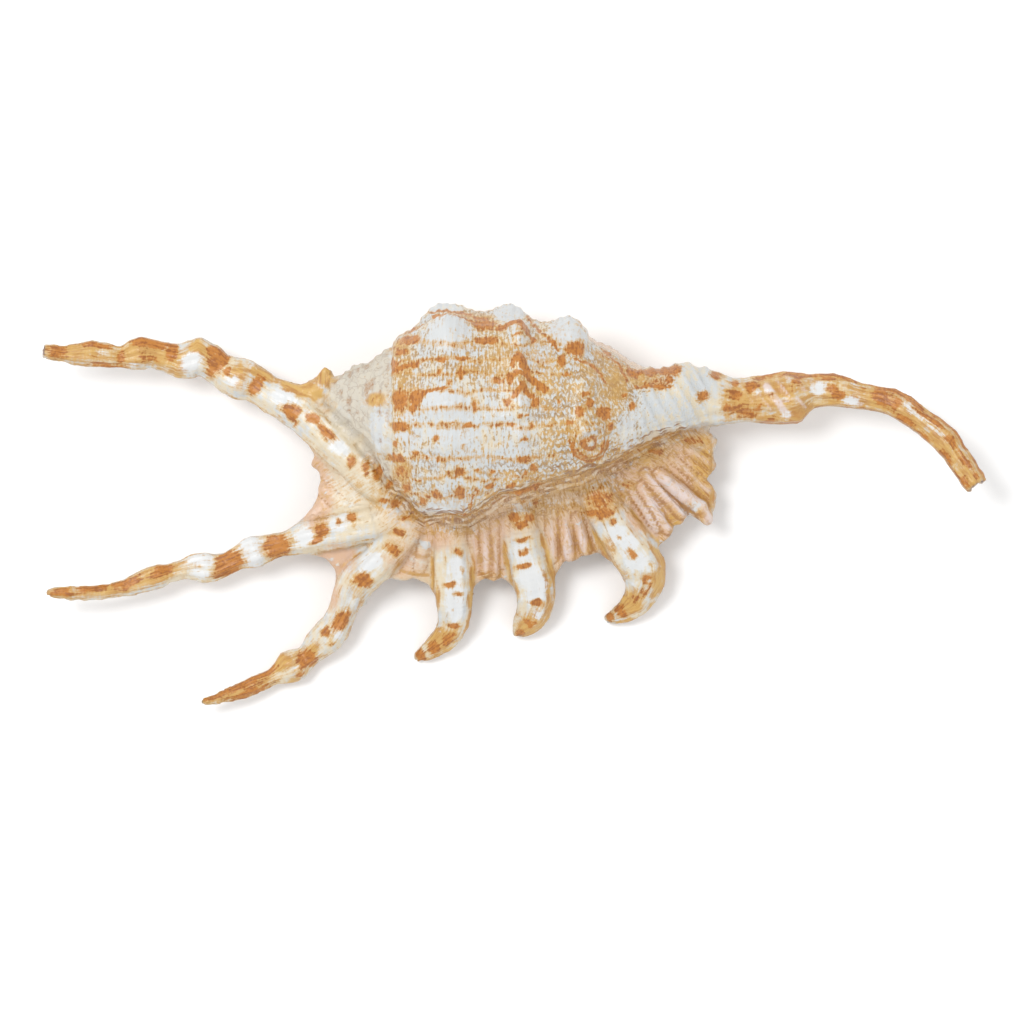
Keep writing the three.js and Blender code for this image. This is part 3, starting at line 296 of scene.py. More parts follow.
# Marks on the fingers and the canal, each as x, y, half length along it, half breadth, strength
FINGER_MARKS = {
    "first": {
        "rust": [
            (-75.6, 25.5, 2.3, 1.5, 0.75), (-69.0, 26.7, 5.0, 0.7, 0.7),
            (-67.8, 23.2, 4.3, 0.7, 0.75), (-69.5, 24.8, 2.3, 0.5, 0.55),
            (-65.0, 24.7, 1.0, 1.3, 0.8), (-60.0, 27.0, 3.7, 0.8, 0.95),
            (-60.3, 24.5, 4.0, 1.0, 0.6), (-56.6, 25.5, 1.2, 2.0, 0.85),
            (-48.8, 24.0, 1.6, 2.8, 1.0), (-49.8, 25.8, 1.0, 1.0, 0.9),
            (-47.3, 22.3, 0.8, 1.0, 0.8), (-42.8, 19.8, 1.1, 1.8, 1), (-41.6, 21.0, 0.8, 0.8, 0.8),
            (-36.5, 15.5, 1.5, 1.1, 1), (-36.0, 13.5, 0.6, 1.0, 0.8), (-33.0, 14.3, 1.5, 0.8, 0.95),
            (-31.0, 12.3, 1.8, 0.8, 1), (-26.6, 7.3, 0.7, 1.3, 0.8), (-24.1, 6.2, 0.7, 1.7, 0.75)],
        "white": [
            (-53.1, 23.7, 2.2, 1.5, 1), (-46.6, 20.8, 1.3, 1.3, 0.7), (-38.0, 17.7, 2.7, 1.5, 1),
            (-34.1, 15.2, 0.8, 0.6, 0.9), (-29.0, 9.8, 2.3, 1.3, 0.95),
            (-43.6, 23.3, 1.7, 0.7, 0.5), (-63.6, 23.2, 1.5, 0.7, 0.6),
            (-68.3, 25.5, 2.0, 0.5, 0.5), (-57.8, 26.0, 0.8, 0.5, 0.6)],
        "gold": [
            (-52.0, 26.3, 1.7, 1.0, 1), (-45.6, 21.7, 2.0, 2.0, 0.7), (-41.6, 22.2, 2.3, 1.3, 0.85),
            (-34.5, 19.5, 5.7, 1.5, 1), (-30.3, 21.7, 1.5, 1.5, 1), (-60.3, 25.5, 8.3, 2.3, 0.8),
            (-72.8, 25.5, 6.7, 2.0, 0.75), (-55.3, 22.2, 1.7, 1.3, 0.6)]},
    "second": {
        "rust": [
            (-75.3, -14.7, 2.5, 0.8, 0.85), (-70.0, -13.8, 4.0, 1.0, 0.82),
            (-64.5, -13.0, 4.0, 1.2, 0.8), (-58.6, -11.0, 3.0, 1.3, 0.75),
            (-47.3, -9.7, 2.5, 2.3, 1), (-49.0, -11.5, 1.5, 0.8, 0.7),
            (-39.1, -6.8, 2.5, 2.2, 0.92), (-31.6, -4.2, 1.1, 1.2, 1), (-32.5, -6.0, 1.0, 0.6, 1),
            (-29.0, -2.7, 0.5, 0.8, 0.8), (-26.6, -2.0, 0.8, 0.7, 0.8), (-26.3, -3.3, 0.5, 0.3, 0.7)],
        "white": [
            (-52.0, -9.2, 2.5, 1.2, 0.9), (-52.0, -11.5, 2.5, 1.0, 0.8), (-43.6, -7.8, 2.0, 2.8, 1),
            (-34.6, -5.3, 1.7, 2.0, 1), (-29.0, -3.2, 1.8, 1.3, 0.9), (-27.5, -2.2, 1.3, 0.8, 0.8),
            (-61.6, -12.2, 1.3, 0.5, 0.4)],
        "gold": [
            (-60.3, -11.7, 6.7, 1.7, 0.8), (-67.0, -13.8, 6.7, 1.5, 0.75),
            (-75.3, -14.7, 3.0, 1.2, 0.7)]},
    "third": {
        "rust": [
            (-46.1, -30.2, 5.7, 1.3, 1.0), (-41.6, -27.8, 2.7, 1.5, 0.95),
            (-44.0, -31.6, 5.0, 0.8, 0.8), (-49.5, -31.6, 3.0, 1.1, 0.9),
            (-34.3, -25.8, 2.0, 1.8, 0.85), (-35.3, -28.3, 1.7, 0.8, 0.7),
            (-28.6, -19.3, 2.0, 1.2, 1), (-31.1, -21.3, 1.0, 1.0, 0.9),
            (-24.8, -12.7, 1.5, 1.5, 0.95), (-19.6, -7.2, 1.2, 1.8, 1),
            (-18.0, -5.3, 1.5, 0.9, 0.95), (-30.3, -23.5, 0.7, 0.5, 0.5),
            (-15.3, -2.5, 1.3, 0.8, 0.7)],
        "white": [
            (-29.0, -21.5, 1.2, 0.8, 1), (-26.6, -16.5, 2.0, 1.8, 0.45), (-23.5, -9.5, 2.0, 1.5, 1),
            (-31.6, -23.0, 1.3, 0.8, 0.45), (-21.0, -10.8, 0.8, 0.7, 0.4)],
        "gold": [
            (-38.6, -26.5, 1.8, 1.5, 1), (-36.6, -29.8, 2.0, 1.0, 0.8),
            (-46.0, -30.8, 7.5, 1.5, 1.0), (-33.3, -24.2, 1.7, 1.3, 0.7),
            (-26.1, -14.5, 2.3, 2.2, 0.45)]},
    "fourth": {
        "rust": [
            (-9.1, -5.3, 0.9, 0.8, 0.95), (-8.8, -7.5, 1.0, 0.7, 0.9), (-10.3, -13.3, 0.5, 1.2, 1),
            (-9.1, -14.8, 0.4, 0.8, 0.8), (-9.5, -20.3, 0.8, 1.0, 0.9),
            (-10.8, -22.5, 1.3, 1.5, 0.75), (-13.3, -23.8, 1.2, 1.5, 0.85),
            (-15.3, -25.3, 0.8, 1.3, 1), (-8.3, -10.8, 0.8, 0.4, 0.5), (-10.0, -17.5, 0.3, 0.5, 0.5)],
        "white": [
            (-9.5, -15.8, 3.5, 1.9, 1), (-9.1, -10.5, 2.2, 1.5, 0.9), (-12.0, -21.2, 1.3, 0.7, 0.4)],
        "gold": [
            (-6.6, -15.2, 4.3, 0.7, 0.8), (-12.5, -15.5, 3.7, 0.5, 0.6),
            (-12.0, -22.5, 2.4, 2.7, 0.9)]},
    "fifth": {
        "rust": [
            (1.9, -5.7, 0.5, 1.5, 1), (2.0, -7.8, 0.5, 1.0, 0.8), (2.0, -10.2, 0.5, 1.3, 1),
            (4.0, -16.3, 0.6, 1.4, 1), (3.0, -19.8, 0.8, 1.6, 0.8), (1.4, -21.5, 0.8, 1.0, 0.85),
            (5.2, -18.8, 0.5, 0.7, 0.5), (1.4, -2.3, 1.0, 1.2, 0.9)],
        "white": [
            (3.5, -12.8, 3.9, 2.2, 1), (4.4, -18.3, 1.3, 1.3, 0.7), (1.6, -7.8, 1.9, 1.5, 0.85),
            (1.9, -3.8, 1.0, 1.2, 0.7)],
        "gold": [
            (6.2, -14.5, 3.7, 0.6, 0.8), (0.7, -14.2, 3.0, 0.5, 0.6), (3.0, -20.3, 2.4, 2.2, 0.85)]},
    "sixth": {
        "rust": [
            (15.7, -1.3, 0.8, 2.0, 1), (16.7, -2.8, 0.7, 0.7, 0.9), (19.9, -8.2, 1.1, 0.6, 1),
            (17.7, -5.7, 0.7, 0.4, 0.6), (22.5, -12.2, 1.0, 1.0, 0.75),
            (23.9, -10.8, 0.7, 0.7, 0.5), (22.0, -14.5, 1.5, 1.0, 0.6),
            (20.7, -15.8, 1.5, 1.2, 0.6), (18.4, -17.7, 1.0, 1.5, 0.85),
            (16.5, -18.7, 0.7, 1.0, 0.95), (19.5, -11.7, 0.5, 0.3, 0.4)],
        "white": [
            (17.4, -4.8, 1.7, 1.7, 1), (19.4, -6.8, 1.7, 1.7, 1), (21.0, -9.5, 1.7, 2.0, 1),
            (21.7, -14.2, 1.2, 1.0, 0.5), (20.4, -13.0, 1.0, 1.0, 0.6)],
        "gold": [
            (25.0, -9.2, 3.0, 0.7, 0.9), (17.7, -10.8, 3.0, 0.8, 0.7),
            (24.6, -12.9, 2.2, 1.0, 0.85), (16.0, -6.7, 2.0, 0.8, 0.5), (19.7, -16.2, 2.6, 2.3, 0.9)]},
    "canal": {
        "rust": [
            (34.0, 21.5, 1.0, 0.7, 0.9), (36.9, 20.3, 1.2, 0.8, 0.9), (31.7, 18.0, 1.0, 0.9, 0.95),
            (31.0, 18.8, 0.5, 0.5, 0.6), (37.2, 18.3, 2.0, 1.2, 0.72), (40.0, 19.5, 1.5, 1.2, 0.78),
            (36.0, 16.0, 1.3, 1.2, 0.8), (38.9, 15.5, 2.0, 1.3, 0.72), (40.9, 16.2, 1.3, 1.0, 0.7),
            (43.0, 17.8, 1.5, 0.8, 0.55), (47.2, 20.7, 1.2, 0.8, 0.9), (46.7, 19.2, 0.8, 0.7, 0.6),
            (44.0, 15.0, 2.3, 1.0, 0.5), (53.5, 19.5, 1.2, 0.8, 0.9), (54.4, 18.3, 1.3, 1.0, 0.95),
            (53.0, 21.2, 1.5, 0.5, 0.8), (58.4, 19.5, 1.0, 0.5, 0.6), (61.4, 18.2, 1.5, 1.7, 0.9),
            (64.0, 16.8, 1.2, 1.5, 0.8), (67.2, 16.7, 2.3, 1.0, 0.8), (65.5, 14.2, 2.7, 0.7, 0.8),
            (70.4, 13.5, 2.3, 0.8, 0.8), (68.9, 11.2, 2.3, 0.7, 0.8), (73.0, 10.5, 2.2, 0.8, 0.8),
            (72.2, 7.8, 2.2, 0.8, 0.8), (75.4, 7.0, 2.0, 0.7, 0.8), (75.0, 3.8, 1.5, 0.7, 0.8),
            (77.0, 5.2, 1.3, 0.5, 0.7), (37.5, 17.5, 3.4, 4.0, 0.50), (40.5, 20.3, 2.2, 0.5, 0.6),
            (47.5, 20.8, 1.0, 1.4, 0.75), (46.0, 13.9, 2.0, 0.7, 0.6), (62.5, 17.3, 2.6, 2.2, 0.6),
            (69.0, 14.5, 2.4, 0.7, 0.7), (74.0, 9.4, 2.4, 0.5, 0.7)],
        "white": [
            (51.2, 19.5, 1.6, 1.3, 0.80), (56.7, 17.2, 1.9, 0.9, 0.82),
            (56.9, 20.3, 1.2, 0.6, 0.45), (43.0, 18.8, 2.3, 0.5, 0.6), (45.5, 17.3, 1.7, 0.5, 0.55),
            (45.7, 15.0, 1.3, 0.8, 0.6), (66.5, 15.9, 3.4, 0.7, 0.70), (71.4, 11.5, 3.2, 0.6, 0.60),
            (62.0, 19.0, 2.0, 0.5, 0.55), (76.0, 6.2, 1.2, 0.5, 0.75), (77.5, 3.0, 0.5, 0.5, 0.5)],
        "gold": [
            (38.7, 17.5, 4.3, 3.3, 0.7), (44.0, 18.3, 4.0, 2.7, 0.85), (48.0, 15.5, 2.3, 1.3, 0.9),
            (53.9, 17.5, 3.7, 1.3, 0.7), (61.4, 17.5, 4.3, 2.3, 0.8), (66.4, 15.0, 4.3, 2.7, 0.85),
            (72.2, 10.0, 4.3, 2.3, 0.85), (75.7, 5.0, 3.3, 2.0, 0.8)]},
}

SHORT_FINGERS = [list(FINGERS).index(name) for name in ("fourth", "fifth", "sixth")]
CANAL = list(FINGERS).index("canal")

# The radius that turns an angle round the body into a length along its skin
BODY_RADIUS = 13.5

# How far apart the fine lines are: cords round the body and the neck, threads beside the crease,
# ridges in the mouth, and rows of rust
CORD_GAP = 1.35
NECK_CORD_GAP = 1.95
THREAD_GAP = 1.15
RIDGE_GAP = 1.5
RUST_ROW_GAP = 1.75

# The spire's growth steps: x, half width, depth
SPIRE_STEPS = [(-20.15, 0.35, 0.45), (-23.9, 0.4, 0.30), (-27.2, 0.4, 0.25)]

# The open tips: name, radius, depth
TIP_HOLLOWS = [("first", 0.75, 1.3), ("third", 0.45, 0.7), ("canal", 1.15, 1.8)]

# The photograph: its width and scale at the height of the lip, and the place under its middle
PHOTO_WIDTH = 1024.0
PHOTO_PIXELS_PER_MM = 6.0
PHOTO_MIDDLE = (0.00003, -0.00117)
LIP_HEIGHT = 0.010


def fade(low, high, value):
    """A soft step from 0 at low to 1 at high."""
    t = np.clip((value - low) / (high - low), 0.0, 1.0)
    return t * t * (3.0 - 2.0 * t)


def grain(points, size, seed=0):
    """Smooth seeded unevenness from -1 to 1, with lumps of about the given size."""
    place = points / size
    cell = np.floor(place).astype(np.int64)
    part = place - cell
    part = part * part * (3.0 - 2.0 * part)
    total = np.zeros(len(points))
    for corner in range(8):
        step = np.array([corner & 1, corner >> 1 & 1, corner >> 2 & 1])
        at = cell + step
        key = at[:, 0] * 73856093 ^ at[:, 1] * 19349663 ^ at[:, 2] * 83492791 ^ seed * 2654435761
        key = (key & 0xFFFFFFFF) * 1274126177 & 0xFFFFFFFF
        key = (key ^ key >> 15) * 2246822519 & 0xFFFFFFFF
        value = (key >> 8 & 0xFFFF) / 65535.0
        share = np.prod(np.where(step == 1, part, 1.0 - part), axis=1)
        total += value * share
    return total * 2.0 - 1.0


def along(route, plan):
    """Distance from a route seen from above, the place along it, and the side offset."""
    route = np.array(route, dtype=float)[:, :2]
    near = np.full(len(plan), 1e9)
    place = np.zeros(len(plan))
    side = np.zeros(len(plan))
    start = 0.0
    for first, last in zip(route[:-1], route[1:]):
        way = last - first
        length = float(np.hypot(way[0], way[1]))
        share = np.clip((plan - first) @ way / length ** 2, 0.0, 1.0)
        gap = plan - (first + share[:, None] * way)
        far = np.hypot(gap[:, 0], gap[:, 1])
        closer = far < near
        near = np.where(closer, far, near)
        place = np.where(closer, start + share * length, place)
        side = np.where(closer, (way[0] * gap[:, 1] - way[1] * gap[:, 0]) / length, side)
        start += length
    return near, place, side


def route_values(route, column):
    """Distance along a route at each of its points, and that column's values."""
    route = np.array(route, dtype=float)
    steps = np.hypot(np.diff(route[:, 0]), np.diff(route[:, 1]))
    return np.concatenate([[0.0], np.cumsum(steps)]), route[:, column]


def bell(square):
    """1 in the middle of a mark and about a half at its edge, from the square of the distance."""
    return np.exp(-0.7 * square)


def patches(table, plan):
    """The strongest of a table of oval places at each point."""
    total = np.zeros(len(plan))
    for x, y, half_length, half_breadth, strength in table:
        across = ((plan[:, 0] - x) / half_length) ** 2
        total = np.maximum(total, strength * bell(across + ((plan[:, 1] - y) / half_breadth) ** 2))
    return total


def streaks(table, plan):
    """The strongest of a table of straight strokes at each point."""
    total = np.zeros(len(plan))
    for x1, y1, x2, y2, half_width, strength in table:
        far = along([(x1, y1), (x2, y2)], plan)[0] / half_width
        total = np.maximum(total, strength * bell(far ** 2))
    return total


def finger_patches(kind, at):
    """The strongest mark of one kind on the fingers, laid out along each finger."""
    total = np.zeros(len(at.x))
    for number, (name, marks) in enumerate(FINGER_MARKS.items()):
        here = at.finger == number
        place = at.finger_place[here] + at.stray[here, 0]
        side = at.finger_side[here] + at.stray[here, 1]
        best = np.zeros(int(here.sum()))
        for x, y, half_length, half_breadth, strength in marks[kind]:
            _, middle, offset = along(FINGERS[name], np.array([(x, y)]))
            square = ((place - middle[0]) / half_length) ** 2 + ((side - offset[0]) / half_breadth) ** 2
            best = np.maximum(best, strength * bell(square))
        total[here] = best
    return total


def copied_shell(solid):
    """A merged copy of the solid shell, with a fine even skin."""
    conch = bpy.data.objects.new("conch", solid.data.copy())
    bpy.context.scene.collection.objects.link(conch)
    bpy.context.view_layer.objects.active = conch
    conch.select_set(True)
    bpy.ops.object.mode_set(mode="EDIT")
    bpy.ops.mesh.select_all(action="SELECT")
    bpy.ops.mesh.remove_doubles(threshold=0.000001)
    bpy.ops.mesh.normals_make_consistent(inside=False)
    bpy.ops.object.mode_set(mode="OBJECT")
    skin = conch.modifiers.new("skin", "REMESH")
    skin.mode = "VOXEL"
    skin.voxel_size = SKIN_CELL * MM
    skin.use_smooth_shade = True
    bpy.ops.object.modifier_apply(modifier="skin")
    return conch


def skin_points(conch):
    """The skin's points and outward directions, in millimetres."""
    count = len(conch.data.vertices)
    points = np.empty(count * 3)
    conch.data.vertices.foreach_get("co", points)
    outward = np.empty(count * 3)
    conch.data.vertices.foreach_get("normal", outward)
    return points.reshape(-1, 3) / MM, outward.reshape(-1, 3)


def set_skin_points(conch, points):
    conch.data.vertices.foreach_set("co", (points * MM).ravel())
    conch.data.update()


def evened(conch, points, rounds, amounts):
    """Points drawn towards and away from their neighbours, which takes the flat facets out."""
    edges = np.empty(len(conch.data.edges) * 2, dtype=np.int64)
    conch.data.edges.foreach_get("vertices", edges)
    one, other = edges.reshape(-1, 2).T
    count = len(points)
    links = np.bincount(one, minlength=count) + np.bincount(other, minlength=count)
    links = np.maximum(links, 1)[:, None]
    for _ in range(rounds):
        for amount in amounts:
            total = np.empty_like(points)
            for axis in range(3):
                values = points[:, axis]
                total[:, axis] = np.bincount(one, values[other], count)
                total[:, axis] += np.bincount(other, values[one], count)
            points = points + amount * (total / links - points)
    return points


class Places:
    """Where each point of the skin is on the shell."""

    def __init__(self, points, outward):
        self.points = points
        self.plan = points[:, :2]
        self.outward = outward
        self.x, self.y, self.z = points.T
        self.back_side = fade(-0.30, 0.12, outward[:, 2])
        self.under = 1.0 - self.back_side
        self._find_whorl_place()
        self._find_finger_place()
        self._find_regions()

    def _find_whorl_place(self):
        columns = [np.interp(self.x, WHORL[:, 0], WHORL[:, i]) for i in range(1, 6)]
        back, lip, middle, rise, drop = columns
        up = self.z - middle
        up = up / np.where(up >= 0, rise, drop)
        across = (self.y - (back + lip) / 2) / ((back - lip) / 2)
        self.reach = np.hypot(up, across)
        turn = np.degrees(np.arctan2(up, across))
        self.arc = np.radians(np.mod(turn + 90.0, 360.0) - 90.0) * BODY_RADIUS

    def _find_finger_place(self):
        count = len(self.x)
        self.finger = np.full(count, -1)
        self.finger_reach = np.full(count, 9.0)
        self.finger_place = np.zeros(count)
        self.finger_side = np.zeros(count)
        self.finger_turn = np.zeros(count)
        for number, route in enumerate(FINGERS.values()):
            near, place, side = along(route, self.plan)
            reach = near / np.interp(place, *route_values(route, 3))
            turn = np.arctan2(self.z - np.interp(place, *route_values(route, 2)), side)
            closer = reach < self.finger_reach
            self.finger = np.where(closer, number, self.finger)
            self.finger_reach = np.where(closer, reach, self.finger_reach)
            self.finger_place = np.where(closer, place, self.finger_place)
            self.finger_side = np.where(closer, side, self.finger_side)
            self.finger_turn = np.where(closer, turn, self.finger_turn)

    def _find_regions(self):
        level = np.interp(self.x, [p[0] for p in CREASE], [p[1] for p in CREASE])
        self.crease_gap, self.crease_place, self.crease_side = along(CREASE, self.plan)
        on_finger = 1.0 - fade(0.95, 1.35, self.finger_reach)
        past_root = np.where(self.finger == CANAL, fade(0.0, 3.0, self.finger_place),
                             fade(1.5, 6.0, self.finger_place))
        beyond = np.maximum(fade(-34.5, -37.0, self.x), fade(32.5, 35.0, self.x))
        self.on_finger = np.maximum(on_finger * past_root, beyond)
        above = fade(-0.7, 0.7, self.y - level) * (1.0 - fade(34.0, 36.0, self.x))
        outside = fade(0.80, 0.92, self.reach)
        self.body = above * outside * (1.0 - self.on_finger)
        self.whorl = self.body * fade(-21.0, -19.4, self.x) * (1.0 - fade(20.0, 25.0, self.x))
        self.spire = self.body * (1.0 - fade(-21.0, -19.6, self.x))
        self.neck = self.body * fade(19.0, 22.5, self.x)
        self.lip = (1.0 - above) * (1.0 - self.on_finger) * (1.0 - beyond)


def crease_relief(at):
    """The groove of the crease and the wavy threads beside it."""
    groove = -0.40 * np.exp(-(at.crease_gap / 0.55) ** 2)
    wave = 0.25 * np.sin(at.crease_place / 1.3) + 0.2 * grain(at.points, 2.5, 11)
    threads = 0.13 * np.cos(2 * math.pi * (at.crease_gap + wave) / THREAD_GAP)
    return (groove + threads * np.exp(-(at.crease_gap / 2.4) ** 2)) * at.back_side


def cord_height(at):
    """The fine cords round the body: 1 on a cord and 0 between two."""
    waver = 0.22 * grain(at.points, 4.0, 3)
    return 0.5 + 0.5 * np.cos(2 * math.pi * (at.x + waver) / CORD_GAP)


def whorl_relief(at):
    """Fine cords round the body, growth folds across them, and the beads where they cross."""
    cords = 2.0 * cord_height(at) - 1.0
    bold = 0.65 + 0.35 * grain(at.points, 6.0, 4)
    flat = at.z * 0.0
    folds = grain(np.stack([at.x / 7.0, at.arc / 0.85, flat], axis=1), 1.0, 5)
    slow = grain(np.stack([at.x / 12.0, at.arc / 2.6, flat], axis=1), 1.0, 6)
    total = 0.10 * cords * bold + 0.10 * folds + 0.16 * slow + 0.05 * cords * folds
    for x, y, half_length, half_breadth, height in NODULES:
        far = np.hypot((at.x - x) / half_length, (at.y - y) / half_breadth)
        total = total + height * np.exp(-1.4 * far ** 2) * at.back_side
    x, y, radius, height = RING_NODULE
    far = np.hypot(at.x - x, at.y - y)
    ring = height * np.exp(-((far - radius) / 0.55) ** 2) + height * np.exp(-(far / 0.8) ** 2)
    total = total + ring * at.back_side
    return total * np.clip(at.whorl, 0.0, 1.0)


def spire_relief(at):
    """The worn spire: its growth steps and its chalky, pitted skin."""
    steps = np.zeros(len(at.x))
    for x, half_width, depth in SPIRE_STEPS:
        steps = steps - depth * np.exp(-((at.x - x) / half_width) ** 2)
    cords = 0.10 * np.cos(2 * math.pi * at.x / 1.25)
    rough = 0.26 * grain(at.points, 1.15, 21) + 0.18 * grain(at.points, 2.6, 22)
    pits = -0.30 * fade(0.45, 0.8, grain(at.points, 0.95, 23))
    first_step = np.exp(-((at.x - SPIRE_STEPS[0][0]) / 0.8) ** 2)
    near_spire = np.clip(at.spire + at.body * first_step, 0.0, 1.0)
    beside = patches(ROUGH_PLACES, at.plan) * at.back_side * (1.0 - at.spire)
    return steps * near_spire + (cords + rough + pits) * at.spire + (rough + 0.5 * pits) * beside


def neck_cords(at):
    """The thin raised cords that slant round the neck: 1 on a cord, 0 between."""
    phase = (0.86 * at.x + 0.50 * at.y + 0.35 * grain(at.points, 4.0, 31)) / NECK_CORD_GAP
    return (0.5 + 0.5 * np.cos(2 * math.pi * phase)) ** 3


def neck_relief(at):
    """Raised slanting cords where the body narrows to the canal."""
    return 0.32 * neck_cords(at) * at.neck


def fold_swell(fold, place):
    """How high a fold of the lip stands along its length: low at the crease, full near its end."""
    x1, y1, x2, y2 = fold[:4]
    share = np.clip(place / math.hypot(x2 - x1, y2 - y1), 0.0, 1.0)
    at_crease = 0.60 if x1 > LOBE_X else 0.25
    return at_crease + (1.0 - at_crease) * np.sin(math.pi * (0.08 + 0.62 * share))


def lip_relief(at):
    """The folds and soft unevenness of the lip's back."""
    total = 0.13 * grain(at.points, 2.2, 41) + 0.04 * grain(at.points, 1.1, 42)
    for fold in LIP_FOLDS:
        half_width, height = fold[4:]
        near, place, _ = along([fold[:2], fold[2:4]], at.plan)
        total = total + height * fold_swell(fold, place) * np.exp(-(near / half_width) ** 2)
    near_fingers = 1.0 - 0.7 * np.clip(at.on_finger, 0.0, 1.0)
    total = total + 0.22 * at.beads
    return total * at.back_side * near_fingers * (1.0 - np.clip(at.body, 0.0, 1.0))


def finger_relief(at):
    """Cords along the fingers and the canal, with growth rings across them."""
    cords = np.cos(7.0 * at.finger_turn + 0.5 * grain(at.points, 3.0, 51))
    rings = grain(np.stack([at.finger_place / 1.1, at.finger + 0.5, at.z * 0.0], axis=1), 1.0, 52)
    rough = grain(at.points, 1.3, 53)
    total = 0.13 * cords + 0.12 * rings + 0.07 * rough + 0.35 * streaks(CANAL_RIBS, at.plan)
    return total * at.on_finger * (0.35 + 0.65 * at.back_side)


def mouth_relief(at):
    """Fine ridges that run into the mouth under the lip."""
    in_mouth = at.under * (1.0 - at.on_finger) * fade(-3.5, 0.5, at.y) * (1.0 - fade(11.5, 13.0, at.y))
    in_mouth = in_mouth * fade(-17.0, -14.0, at.x) * (1.0 - fade(25.0, 28.0, at.x))
    return 0.17 * np.cos(2 * math.pi * (at.x - 0.35 * at.y) / RIDGE_GAP) * in_mouth


def tip_hollows(at):
    """The open ends of the longest fingers and the canal, as shallow hollows."""
    total = np.zeros(len(at.x))
    for name, radius, depth in TIP_HOLLOWS:
        route = np.array(FINGERS[name])
        tip = route[-1, :3]
        way = tip - route[-2, :3]
        way = way / np.linalg.norm(way)
        gap = at.points - tip
        ahead = gap @ way
        aside = np.linalg.norm(gap - ahead[:, None] * way, axis=1)
        open_end = fade(0.35, 0.75, at.outward @ way) * fade(-1.6, -0.6, ahead)
        total = total - depth * np.exp(-(aside / radius) ** 2) * open_end
    return total


def fold_colours(at):
    """How far each point of the lip is on the crest of a fold, whitened there in part as painted
    highlight, and how far in a groove beside one, darkened there as painted shade.
    """
    crest = np.zeros(len(at.x))
    groove = np.zeros(len(at.x))
    for fold in LIP_FOLDS:
        half_width, height = fold[4:]
        near, place, _ = along([fold[:2], fold[2:4]], at.plan + 0.4 * at.stray)
        swell = fold_swell(fold, place)
        crest = np.maximum(crest, np.exp(-(near / (0.75 * half_width)) ** 2) * height * swell)
        beside = np.exp(-((near - 1.45 * half_width) / 0.28) ** 2)
        groove = np.maximum(groove, beside * (0.5 + 0.6 * height) * (0.5 + 0.5 * swell))
    on_lip = np.clip(at.lip, 0.0, 1.0) * at.back_side
    return crest * on_lip, groove * (1.0 - crest) * on_lip


def body_bands(at):
    """The rows of fine dashes that run lengthwise over the body."""
    total = np.zeros(len(at.x))
    for level in BAND_LEVELS:
        waver = at.seen[:, 1] - level + 0.25 * np.sin(at.x / 1.7 + level)
        total = np.maximum(total, bell((waver / 0.50) ** 2))
    return total * at.whorl * (1.0 - fade(6.0, 12.0, at.x))


def stitched(at):
    """Where the body has rows of small zigzags."""
    return patches(STITCHED_PLACES, at.seen) * at.whorl


def ring_arcs(at):
    """The three rust arcs on the ring nodule, and how far each point is from its middle."""
    x, y, radius, _ = RING_NODULE
    far = np.hypot(at.seen[:, 0] - x, at.seen[:, 1] - y)
    outer = bell(((far - radius - 1.0) / 0.26) ** 2)
    middle = 0.9 * bell(((far - radius - 0.2) / 0.26) ** 2)
    inner = bell(((far - 0.5 * radius) / 0.38) ** 2)
    lower = 0.55 + 0.45 * fade(1.5, -0.5, at.seen[:, 1] - y)
    return np.maximum(np.maximum(outer, middle), inner) * lower, far


def rust_cover(at):
    """How much of the skin is rust at each point: its named marks and the finer speckle."""
    marks = patches(BODY_RUST + LIP_RUST, at.seen)
    marks = np.maximum(marks, streaks(RUST_STREAKS, at.seen))
    for thread in THREADS:
        marks = np.maximum(marks, 0.85 * bell((along(thread, at.seen)[0] / 0.28) ** 2))
    on_crease = 0.55 * bell((at.crease_gap / 0.30) ** 2) * fade(-18.5, -16.5, at.x)
    marks = np.maximum(marks, on_crease * (1.0 - fade(27.0, 31.0, at.x)))
    zigzag = np.abs(np.mod(at.x / 1.9, 1.0) - 0.5) * 1.6
    rows = 0.5 + 0.5 * np.cos(2 * math.pi * (at.seen[:, 1] + zigzag) / RUST_ROW_GAP)
    marks = np.maximum(marks, patches(ROWED_RUST, at.seen) * (0.30 + 0.70 * rows))
    arcs, from_ring = ring_arcs(at)
    marks = np.maximum(marks * fade(1.0, 3.2, from_ring), arcs)
    marks = np.maximum(marks, 0.50 * body_bands(at))
    marks = np.maximum(marks, patches(THIN_RUST, at.seen))
    marks = np.maximum(marks, 0.26 * np.clip(at.lip, 0.0, 1.0))
    on_finger = finger_patches("rust", at)
    return marks * (1.0 - at.on_finger) + np.maximum(on_finger, 0.8 * marks) * at.on_finger


def hidden_rust(at):
    """Rust on the parts that cannot be seen from above, in rows like those of the back."""
    rows = np.stack([at.x / 3.0, at.arc / 1.6, at.z * 0.0], axis=1)
    whorl = 0.34 + 0.40 * grain(rows, 1.0, 71)
    bars = np.stack([at.finger_place / 4.0, at.finger * 3.0, at.finger_side / 6.0], axis=1)
    finger = 0.38 + 0.38 * grain(bars, 1.0, 73)
    return whorl * (1.0 - at.on_finger) + finger * at.on_finger


